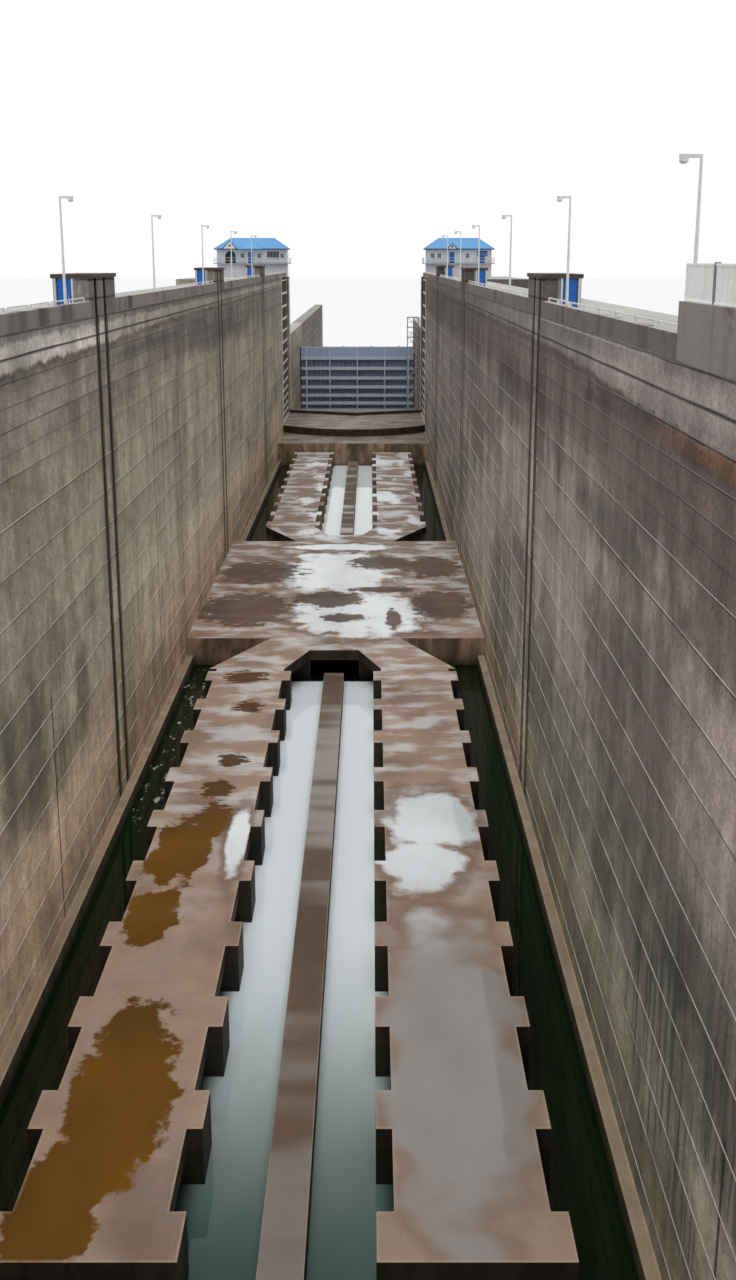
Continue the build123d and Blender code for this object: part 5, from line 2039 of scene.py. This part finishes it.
@dataclass
class MaintenanceBulkhead(Assembly):
    """The closure across the tail, with end seals, stiffeners and lifting lugs."""

    covers: ClassVar = {BULKHEAD: ("bulkhead_plate", "bulkhead_frame")}
    foot: float = 0.67
    top: float = 2.31
    chamfer: float = 0.001
    seal_width: float = 0.02
    seal_depths: Flat = (0.008, 0.0005)
    seal_chamfer: float = 0.002
    uprights: tuple[float, ...] = (-1.17, -0.63, 0.0, 0.63, 1.17)
    upright_half: float = 0.013
    upright_depths: Flat = (0.004, -0.001)
    girder_reach: float = 1.288
    girder_depths: Flat = (0.003, -0.001)
    first_girder: float = 0.185
    girder_spaces: int = 6
    space_range: Flat = (0.165, 0.235)
    strip_half: float = 0.034
    top_strip: float = 0.014
    web_pitch: float = 0.105
    web_reach: float = 1.26
    web_half: float = 0.003
    web_insets: Flat = (0.03, 0.013)
    web_top: float = 2.05
    panel_rib_half: float = 0.002
    panel_rib_depths: Flat = (0.002, 0.0)
    panel_levels: Flat = (2.06, 2.298)
    lug_places: tuple[float, ...] = (-0.95, -0.32, 0.32, 0.95)
    lug_round: Flat = (0.018, 0.014)
    lug_foot: Flat = (0.024, 0.001)
    lug_steps: int = 10
    lug_cheeks: Flat = (-0.012, 0.006)
    lug_plate: float = 0.006
    lug_pin: Flat = (0.014, 0.005)
    lug_turn: float = 20.0
    pin_sides: int = 10

    def lug(self, lugs: Draft, place: float) -> None:
        """Adds one lifting lug: two cheeks and a pin.

        Args:
            lugs: The piece that it becomes a part of.
            place: Where it stands across the lock.
        """
        middle, (width, height), (half, sunk) = sum(LAYOUT.bulkhead) / 2, self.lug_round, self.lug_foot
        eye = self.top + height
        turns = [math.radians(self.lug_turn * step) for step in range(self.lug_steps)]
        outline = [(middle + math.cos(turn) * width, eye + math.sin(turn) * height) for turn in turns]
        outline = [(middle + half, self.top - sunk), *outline, (middle - half, self.top - sunk)]
        for shift in self.lug_cheeks:
            lugs.section(outline, Axis.X, place + shift, place + shift + self.lug_plate)
        start, end = about(place, self.lug_pin[0])
        lugs.rod((start, middle, eye), (end, middle, eye), self.lug_pin[1], self.pin_sides)

    def build(self) -> None:
        """Makes the end seals, the stiffeners' pale edges and webs, and the lugs."""
        front, back = LAYOUT.bulkhead
        seals, edges, lugs = Draft(), Draft(), Draft()
        seal_y, upright_y, girder_y, rib_y = (
            (front - deep, front - shallow)
            for deep, shallow in (
                self.seal_depths, self.upright_depths, self.girder_depths, self.panel_rib_depths
            )
        )
        whole = (self.foot, self.top)
        for hand in Hand:
            x = hand.span(LAYOUT.half_chamber, LAYOUT.half_chamber - self.seal_width)
            seals.block(x, seal_y, whole, self.seal_chamfer)
        seals.make("bulkhead_end_seals", SEAL)
        for place in self.uprights:
            edges.block(about(place, self.upright_half), upright_y, whole, self.chamfer)
        across = about(0.0, self.girder_reach)
        for level in rungs(self.foot + self.first_girder, self.girder_spaces, self.space_range):
            edges.block(across, girder_y, about(level, self.strip_half), self.chamfer)
        edges.block(across, girder_y, (self.top - self.top_strip, self.top), self.chamfer)
        web_y = (front + self.web_insets[0], back - self.web_insets[1])
        for index in range(round(2 * self.web_reach / self.web_pitch) + 1):
            place = -self.web_reach + index * self.web_pitch
            if min(abs(place - upright) for upright in self.uprights) > self.web_pitch / 2:
                edges.block(about(place, self.web_half), web_y, (self.foot, self.web_top))
            edges.block(about(place, self.panel_rib_half), rib_y, self.panel_levels)
        edges.make("bulkhead_stiffener_flanges", BULKHEAD_EDGE)
        for place in self.lug_places:
            self.lug(lugs, place)
        lugs.make("bulkhead_lifting_lugs", DARK_STEEL)


@dataclass(frozen=True)
class House:
    """One control house: its near end, its width, and the middles of what it has.

    Its gables and cross hips come as pairs, of the middle and how far they hide the main roof.
    """

    hand: Hand
    near: float
    width: float
    windows: tuple[float, ...]
    doors: tuple[float, ...]
    gables: tuple[Flat, ...]
    hips: tuple[Flat, ...] = ()


HOUSES = (
    House(Hand.LEFT, 1.315, 1.32, (0.07, 0.51, 0.83), (0.675,), ((1.06, 0.15),), ((0.675, 0.25),)),
    House(Hand.RIGHT, 1.38, 1.24, (0.11, 0.24, 0.78), (0.48, 1.06), ((0.48, 0.105),)),
)


@dataclass
class ControlHouses(Assembly):
    """The two control houses on the walls beside the lower gates."""

    covers: ClassVar = {
        RENDER: ("control_house_walls", "control_house_lower_storeys"),
        TOWER: ("control_house_decks",),
        ROOFING: ("control_house_roofs",),
        GLASS: ("control_house_windows",),
        CLOTH: ("control_house_awning",),
        WHITE: ("control_house_railings",),
    }
    front: float = 4.1
    back: float = 4.58
    floor: float = 4.2
    eaves: float = 4.46
    slope_foot: float = 4.472
    rise: float = 0.2
    overhang: float = 0.04
    wall: float = 0.025
    chamfer: float = 0.001
    sill: float = 0.105
    window_size: Flat = (0.065, 0.075)
    end_window: float = 0.11
    control_window: Point = (0.245, 0.23, 0.115)
    control_bars: tuple[float, ...] = (-0.25, 0.0, 0.25)
    door_size: Flat = (0.095, 0.21)
    frame_width: float = 0.007
    frame_depth: float = 0.005
    front_sill: Flat = (1.6, 2.0)
    end_sill: Flat = (1.0, 1.0)
    bar_depths: Flat = (0.0032, 0.0062)
    bar_half: float = 0.0015
    control_bar_half: float = 0.0018
    seam_pitch: float = 0.042
    seam_height: float = 0.005
    seam_half: float = 0.0015
    ridge_half: float = 0.004
    fascia: float = 0.004
    fascia_laps: Flat = (0.006, 0.001)
    gutter_radius: float = 0.008
    pipe_share: float = 0.6
    pipe_inset: float = 0.012
    pipe_gaps: Flat = (0.002, 0.004)
    gable_front: float = 3.99
    gable_slope: float = 1.05
    gable_places: tuple[Flat, ...] = ((-2.375, 0.29), (1.86, 0.2))
    gable_depths: Point = (0.004, 0.009, 0.006)
    pediment_insets: Flat = (0.02, 0.022)
    board_reach: float = 0.004
    board_inset: float = 0.016
    board_peak: Flat = (0.001, 0.015)
    vent_share: float = 0.36
    vent_depths: Point = (0.003, 0.008, 0.0105)
    vent_radius: float = 0.02
    vent_sides: int = 20
    vent_slat: Point = (0.014, 0.009, 0.002)
    cap_radius: float = 0.005
    cap_lift: float = 0.002
    cross_hip: Flat = (0.24, 0.06)

    @property
    def middle(self) -> float:
        """Gives the ridge's place along the lock."""
        return (self.front + self.back) / 2

    @property
    def half_depth(self) -> float:
        """Gives how far the eaves are from the ridge."""
        return (self.back - self.front) / 2 + self.overhang

    def roof_run(self, house: House) -> Flat:
        """Gives how far a roof's two ends are from the middle line."""
        return house.near - self.overhang, house.near + house.width + self.overhang

    def trim(
        self, draft: Draft, axis: Axis, run: Flat, z: Flat, face: float, way: int, sill: Flat | None = None
    ) -> None:
        """Adds a frame round an opening in a wall.

        Args:
            draft: The piece that it becomes a part of.
            axis: The axis that the wall runs along.
            run: The opening's two ends on that axis.
            z: Its two levels.
            face: The wall's face.
            way: The way that the face looks along the other axis, as -1 or 1.
            sill: How far a sill reaches and stands out, as shares of the frame's, or None for no sill.
        """
        (low, high), width = sorted(run), self.frame_width
        rise = (z[0], z[1] + width)
        bars = [((low - width, low), rise, 1.0), ((high, high + width), rise, 1.0)]
        bars.append(((low, high), (z[1], z[1] + width), 1.0))
        if sill is not None:
            reach = width * sill[0]
            bars.append(((low - reach, high + reach), (z[0] - width, z[0]), sill[1]))
        for bar, levels, share in bars:
            deep = (face, face + way * self.frame_depth * share)
            x, y = (bar, deep) if axis is Axis.X else (deep, bar)
            draft.block(x, y, levels, self.chamfer)

    def openings(self, frames: Draft, house: House) -> None:
        """Adds the frames and glazing bars of one house's windows and doors.

        Args:
            frames: The piece that they become a part of.
            house: The house.
        """
        side, thin, half = house.hand.value, self.bar_half, self.window_size[0] / 2
        sill = self.floor + self.sill
        levels = (sill, sill + self.window_size[1])
        across = about((levels[0] + levels[1]) / 2, thin)
        panes = (self.front + self.wall / 2, self.back - self.wall / 2)
        for face, way, pane in zip((self.front, self.back), (-1, 1), panes):
            bar = (pane + way * self.bar_depths[0], pane + way * self.bar_depths[1])
            for place in house.windows:
                middle = side * (house.near + place)
                self.trim(frames, Axis.X, about(middle, half), levels, face, way, self.front_sill)
                frames.block(about(middle, thin), bar, levels)
                frames.block((middle - half, middle - thin), bar, across)
                frames.block((middle + thin, middle + half), bar, across)
        for place in house.doors:
            run = about(side * (house.near + place), self.door_size[0] / 2)
            high = (self.floor, self.floor + self.door_size[1])
            self.trim(frames, Axis.X, run, high, self.front, -1)
        if house.hand is Hand.LEFT:
            place, width, height = self.control_window
            middle, high = -(house.near + place), (sill, sill + height)
            self.trim(frames, Axis.X, about(middle, width / 2), high, self.front, -1, self.front_sill)
            bar = (panes[0] - self.bar_depths[1], panes[0] - self.bar_depths[0])
            for share in self.control_bars:
                frames.block(about(middle + share * width, self.control_bar_half), bar, high)
        for y in about(self.middle, self.end_window):
            run = about(y, half)
            self.trim(frames, Axis.Y, run, levels, side * house.near, -side, self.end_sill)

    def covered(self, house: House, place: float, way: int) -> bool:
        """Tells whether a gable or cross hip hides the main slope at a place.

        Args:
            house: The house.
            place: The place, as its distance from the middle line.
            way: -1 for the front slope and 1 for the back slope.

        Returns:
            Whether it is hidden.
        """
        hiding = house.hips + (house.gables if way < 0 else ())
        return any(abs(place - (house.near + middle)) < reach for middle, reach in hiding)

    def seams(self, draft: Draft, house: House) -> None:
        """Adds the standing seams of one main roof's two long slopes.

        Args:
            draft: The piece that they become a part of.
            house: The house.
        """
        low, high = self.roof_run(house)
        depth, tall = self.half_depth, self.seam_height
        for index in range(1, int((high - low) / self.seam_pitch)):
            place = low + index * self.seam_pitch
            climb = min(1.0, (place - low) / depth, (high - place) / depth)
            for way in (-1, 1):
                if self.covered(house, place, way):
                    continue
                foot = (self.middle + way * depth, self.slope_foot)
                head_y = self.middle + way * (depth - (depth - self.ridge_half) * climb)
                head = (head_y, self.slope_foot + self.rise * climb)
                outline = [foot, head, (head[0], head[1] + tall), (foot[0], foot[1] + tall)]
                draft.section(outline, Axis.X, *about(house.hand.value * place, self.seam_half))

    def eaves_trim(self, fascia: Draft, gutters: Draft, house: House) -> None:
        """Adds the navy fascia along one roof's eaves, and its down pipes.

        Args:
            fascia: The fascia's piece.
            gutters: The pipes' piece.
            house: The house.
        """
        side, thick = house.hand.value, self.fascia
        low, high = house.hand.span(*self.roof_run(house))
        front, back = self.front - self.overhang, self.back + self.overhang
        levels = (self.eaves - self.fascia_laps[0], self.slope_foot + self.fascia_laps[1])
        fascia.block((low, high), (front, front - thick), levels)
        fascia.block((low, high), (back, back + thick), levels)
        for edge, way in ((low, -side), (high, side)):
            fascia.block((edge, edge + way * thick), (front - thick, back + thick), levels)
        foot, head = self.floor + self.pipe_gaps[0], self.eaves - self.pipe_gaps[1]
        for corner in (house.near + self.pipe_inset, house.near + house.width - self.pipe_inset):
            for y in (self.front - self.gutter_radius, self.back + self.gutter_radius):
                x = side * corner
                gutters.rod((x, y, foot), (x, y, head), self.gutter_radius * self.pipe_share)

    def gable(self, panels: Draft, edges: Draft, vents: Draft, middle: float, width: float) -> None:
        """Adds one white pediment, its navy edges and its round vent.

        Args:
            panels: The pediments' piece.
            edges: The bargeboards' piece.
            vents: The vents' piece.
            middle: The gable's place across the lock.
            width: Its width.
        """
        face, foot, half = self.gable_front, self.slope_foot, width / 2
        peak = foot + half * self.gable_slope
        side, drop = self.pediment_insets
        panel, board, band = (face - depth for depth in self.gable_depths)
        low, high = middle - half, middle + half
        panels.section([(low + side, foot), (high - side, foot), (middle, peak - drop)], Axis.Y, panel, face)
        base, (over, under) = foot - self.board_reach, self.board_peak
        for way in (-1, 1):
            outer = (middle + way * (half + self.board_reach), base)
            inner = (middle + way * (half - self.board_inset), base)
            edges.section([outer, (middle, peak + over), (middle, peak - under), inner], Axis.Y, board, face)
        strip = [(low, self.eaves), (high, self.eaves), (high, foot), (low, foot)]
        edges.section(strip, Axis.Y, band, face)
        level = foot + (peak - foot) * self.vent_share
        back, front, proud = (face - depth for depth in self.vent_depths)
        vents.rod((middle, back, level), (middle, front, level), self.vent_radius, self.vent_sides)
        reach, pitch, thin = self.vent_slat
        for row in (-1, 0, 1):
            vents.block(about(middle, reach), (proud, front), about(level + row * pitch, thin))

    def caps(self, draft: Draft, house: House) -> None:
        """Adds the rounded caps along one roof's ridge and hips.

        Args:
            draft: The piece that they become a part of.
            house: The house.
        """
        side, y = house.hand.value, self.middle
        foot, top = self.slope_foot + self.cap_lift, self.slope_foot + self.rise
        low, high = self.roof_run(house)
        ends = (low + self.half_depth, high - self.half_depth)
        draft.rod((side * ends[0], y, top), (side * ends[1], y, top), self.cap_radius)
        for corner, end in zip((low, high), ends):
            for way in (-1, 1):
                start = (side * corner, y + way * self.half_depth, foot)
                draft.rod(start, (side * end, y, top), self.cap_radius)

    def cross_caps(self, draft: Draft, house: House) -> None:
        """Adds the caps of the hips that cross one roof.

        Args:
            draft: The piece that they become a part of.
            house: The house.
        """
        half, reach = self.cross_hip
        foot, top = self.slope_foot + self.cap_lift, self.slope_foot + self.rise
        for place, _ in house.hips:
            hip = house.hand.value * (house.near + place)
            for side in (-1, 1):
                for way in (-1, 1):
                    start = (hip + side * half, self.middle + way * (self.half_depth + reach), foot)
                    draft.rod(start, (hip, self.middle, top), self.cap_radius)

    def build(self) -> None:
        """Makes frames, seams, fascias, pipes, gables and roof caps."""
        frames, seams, fascia, gutters = Draft(), Draft(), Draft(), Draft()
        panels, edges, vents, caps = Draft(), Draft(), Draft(), Draft()
        for house in HOUSES:
            self.openings(frames, house)
            self.seams(seams, house)
            self.eaves_trim(fascia, gutters, house)
            self.caps(caps, house)
        for middle, width in self.gable_places:
            self.gable(panels, edges, vents, middle, width)
        for house in HOUSES:
            self.cross_caps(caps, house)
        frames.make("house_window_frames", WHITE)
        seams.make("roof_standing_seams", ROOFING)
        fascia.make("roof_fascias", NAVY)
        gutters.make("roof_gutters", WHITE)
        panels.make("gable_pediments", WHITE)
        edges.make("gable_bargeboards", NAVY)
        vents.make("gable_vents", DARK_STEEL)
        caps.make("roof_ridge_caps", ROOFING)


@dataclass
class LightPoles(Assembly):
    """The light poles along both walls."""

    covers: ClassVar = {WHITE: ("light_poles",)}
    foot: float = 1.43
    clearance: float = 0.13
    flange: Flat = (0.022, 0.005)
    collar: Point = (0.012, 0.0095, 0.03)
    bolts: int = 4
    bolt_circle: float = 0.017
    bolt: Flat = (0.0022, 0.009)
    lens_radius: float = 0.0145
    lens_taper: float = 0.6
    lens_height: float = 0.007
    lamp_level: float = 4.586
    arm: float = 0.06
    flange_sides: int = 12
    bolt_sides: int = 6
    lens_sides: int = 16

    def places(self) -> list[float]:
        """Lists where the poles stand along the lock.

        Returns:
            Their places.
        """
        fronts = [station - LAYOUT.tower_lead - self.clearance for station in LAYOUT.stations]
        return fronts + [(first + second) / 2 for first, second in zip(fronts, fronts[1:])]

    def build(self) -> None:
        """Makes the base flanges, collars, bolts and lenses."""
        flanges, lenses = Draft(), Draft()
        low = LAYOUT.deck
        radius, high = self.flange[0], low + self.flange[1]
        wide, narrow, rise = self.collar
        for hand in Hand:
            for y in self.places():
                x = hand.value * self.foot
                flanges.rod((x, y, low), (x, y, high), radius, self.flange_sides)
                flanges.rod((x, y, high), (x, y, low + rise), wide, self.flange_sides, narrow)
                for turn in range(self.bolts):
                    angle = math.radians(45 + 360 / self.bolts * turn)
                    place = (x + math.cos(angle) * self.bolt_circle, y + math.sin(angle) * self.bolt_circle)
                    foot, head = (*place, high), (*place, low + self.bolt[1])
                    flanges.rod(foot, head, self.bolt[0], self.bolt_sides)
                lamp = hand.value * (self.foot - self.arm)
                start, end = (lamp, y, self.lamp_level), (lamp, y, self.lamp_level - self.lens_height)
                narrowed = self.lens_radius * self.lens_taper
                lenses.rod(start, end, self.lens_radius, self.lens_sides, narrowed)
        flanges.make("pole_base_flanges", GALVANISED)
        lenses.make("lamp_lenses", LENS)


@dataclass
class Scaffold(Assembly):
    """The scaffold stair in the tail's corner."""

    covers: ClassVar = {GALVANISED: ("scaffold_tower",)}
    across: Flat = (1.05, 1.28)
    along: Flat = (5.1, 5.33)
    foot: float = 0.67
    top: float = 3.1245
    lifts: int = 12
    brace_radius: float = 0.0028
    brace_sides: int = 6
    brace_inset: float = 0.003
    brace_gap: float = 0.01
    coupler: float = 0.009
    coupler_inset: float = 0.005
    coupler_height: float = 0.012
    coupler_chamfer: float = 0.002

    def build(self) -> None:
        """Makes the diagonal braces, mid rails and couplers of each lift."""
        braces, couplers = Draft(), Draft()
        height = (self.top - self.foot) / self.lifts
        (left, right), (front, back) = self.across, self.along
        inset, corner, half = self.brace_inset, self.coupler_inset, self.coupler
        for lift in range(self.lifts):
            low, high = self.foot + lift * height, self.foot + (lift + 1) * height
            start, end, middle = low + self.brace_gap, high - self.brace_gap, (low + high) / 2
            flip = lift % 2 == 0
            first, second = (left, right) if flip else (right, left)
            near, far = (front, back) if flip else (back, front)
            for y in (front + inset, back - inset):
                braces.rod((first, y, start), (second, y, end), self.brace_radius, self.brace_sides)
                braces.rod((left, y, middle), (right, y, middle), self.brace_radius, self.brace_sides)
            for x in (left + inset, right - inset):
                braces.rod((x, near, start), (x, far, end), self.brace_radius, self.brace_sides)
            for x in (left + corner, right - corner):
                for y in (front + corner, back - corner):
                    levels = (high - self.coupler_height, high)
                    couplers.block(about(x, half), about(y, half), levels, self.coupler_chamfer)
        braces.make("scaffold_braces", GALVANISED)
        couplers.make("scaffold_couplers", DARK_STEEL)


@dataclass
class Studio:
    """The pale floor, the soft lamps and the camera."""

    camera_place: Point = (0.313, -17.4, 4.26)
    pitch_down: float = 11.71
    focal_pixels: float = 1100.0
    picture: Flat = (736.0, 1280.0)
    principal: Flat = (371.0, 488.0)
    sensor: float = 36.0
    far_clip: float = 600.0
    ground_half: float = 260.0
    ground_drop: float = 0.001
    ambient: float = 0.62
    ambient_tone: Colour = (0.97, 0.985, 1.0)
    overhead: float = 0.9
    flanking: float = 0.75
    lean: float = 42.0
    forward_lean: float = 12.0
    spread: float = 55.0
    fill_size: Flat = (1.6, 21.5)
    fill_place: Point = (0.0, -6.2, 2.1)
    fill_watts: float = 48.0

    def sun(self, name: str, lean: float, strength: float) -> None:
        """Adds one wide soft lamp.

        Args:
            name: The lamp's name.
            lean: How far it leans over from straight down, in degrees.
            strength: Its strength.
        """
        lamp = bpy.data.lights.new(name, "SUN")
        lamp.energy = strength
        lamp.angle = math.radians(self.spread)
        holder = bpy.data.objects.new(name, lamp)
        holder.rotation_euler = Euler((math.radians(self.forward_lean), math.radians(lean), 0.0))
        bpy.context.scene.collection.objects.link(holder)

    def fill(self, name: str, turn: float) -> None:
        """Hangs one long soft lamp in the chamber, facing a wall.

        Args:
            name: The lamp's name.
            turn: The side that it faces, as -1 or 1.
        """
        lamp = bpy.data.lights.new(name, "AREA")
        lamp.shape = "RECTANGLE"
        lamp.size, lamp.size_y = self.fill_size
        lamp.energy = self.fill_watts
        holder = bpy.data.objects.new(name, lamp)
        holder.location = self.fill_place
        holder.rotation_euler = Euler((0.0, math.radians(-90.0 * turn), 0.0))
        holder.visible_camera = False
        holder.visible_glossy = False
        bpy.context.scene.collection.objects.link(holder)

    def world(self) -> None:
        """Sets a plain world that the camera and mirrors see as white."""
        world = bpy.data.worlds.new("studio_world")
        bpy.context.scene.world = world
        world.use_nodes = True
        nodes, links = world.node_tree.nodes, world.node_tree.links
        nodes.clear()
        output = nodes.new("ShaderNodeOutputWorld")
        mix = nodes.new("ShaderNodeMixShader")
        rows = ((1, self.ambient_tone, self.ambient), (2, WHITE_LIGHT, 1.0))
        for index, tone, strength in rows:
            sky = nodes.new("ShaderNodeBackground")
            sky.inputs["Color"].default_value = (*tone, 1.0)
            sky.inputs["Strength"].default_value = strength
            links.new(sky.outputs[0], mix.inputs[index])
        path = nodes.new("ShaderNodeLightPath")
        share = path.outputs["Is Camera Ray"]
        for kind in ("Is Glossy Ray", "Is Transmission Ray"):
            either = nodes.new("ShaderNodeMath")
            either.operation = "MAXIMUM"
            links.new(share, either.inputs[0])
            links.new(path.outputs[kind], either.inputs[1])
            share = either.outputs[0]
        links.new(share, mix.inputs[0])
        links.new(mix.outputs[0], output.inputs[0])

    def light(self) -> None:
        """Hangs the lamps, from the chamber outwards."""
        self.fill("left_fill_lamp", -1.0)
        self.fill("right_fill_lamp", 1.0)
        self.sun("overhead_lamp", 0.0, self.overhead)
        self.sun("left_lamp", -self.lean, self.flanking)
        self.sun("right_lamp", self.lean, self.flanking)

    def ground(self) -> None:
        """Lays the pale floor under the lock."""
        half = self.ground_half
        corners = [(x * half, y * half, 0.0) for x, y in ((-1, -1), (1, -1), (1, 1), (-1, 1))]
        mesh = bpy.data.meshes.new("studio_ground")
        mesh.from_pydata(corners, [], [(0, 1, 2, 3)])
        mesh.materials.append(GROUND.material())
        ground = bpy.data.objects.new("studio_ground", mesh)
        ground.location.z = -self.ground_drop
        bpy.context.scene.collection.objects.link(ground)

    def aim(self) -> None:
        """Places the camera at the picture's viewing angle."""
        camera = bpy.data.cameras.new("viewpoint")
        longest = max(self.picture)
        camera.sensor_width = self.sensor
        camera.lens = self.sensor * self.focal_pixels / longest
        camera.shift_x = (self.picture[0] / 2 - self.principal[0]) / longest
        camera.shift_y = (self.principal[1] - self.picture[1] / 2) / longest
        camera.clip_end = self.far_clip
        holder = bpy.data.objects.new("viewpoint", camera)
        holder.location = self.camera_place
        holder.rotation_euler = Euler((math.radians(90.0 - self.pitch_down), 0.0, 0.0))
        bpy.context.scene.collection.objects.link(holder)
        bpy.context.scene.camera = holder

    def build(self) -> None:
        """Sets camera, ground and light, and the plain view transform."""
        self.aim()
        self.ground()
        self.light()
        self.world()
        bpy.context.scene.view_settings.view_transform = "Standard"


def main() -> None:
    """Builds and dresses each sub-assembly in order."""
    logging.basicConfig(level=logging.INFO, format="%(name)s %(message)s")
    Studio().build()
    for part in (
        ChamberWalls(),
        FloorWorks(),
        BasinWater(),
        BittTowers(),
        Parapets(),
        MitreGates(),
        MaintenanceBulkhead(),
        ControlHouses(),
        LightPoles(),
        Scaffold(),
    ):
        log.info("sub-assembly %s", type(part).__name__)
        part.dress()
        part.build()


if __name__ == "__main__":
    main()
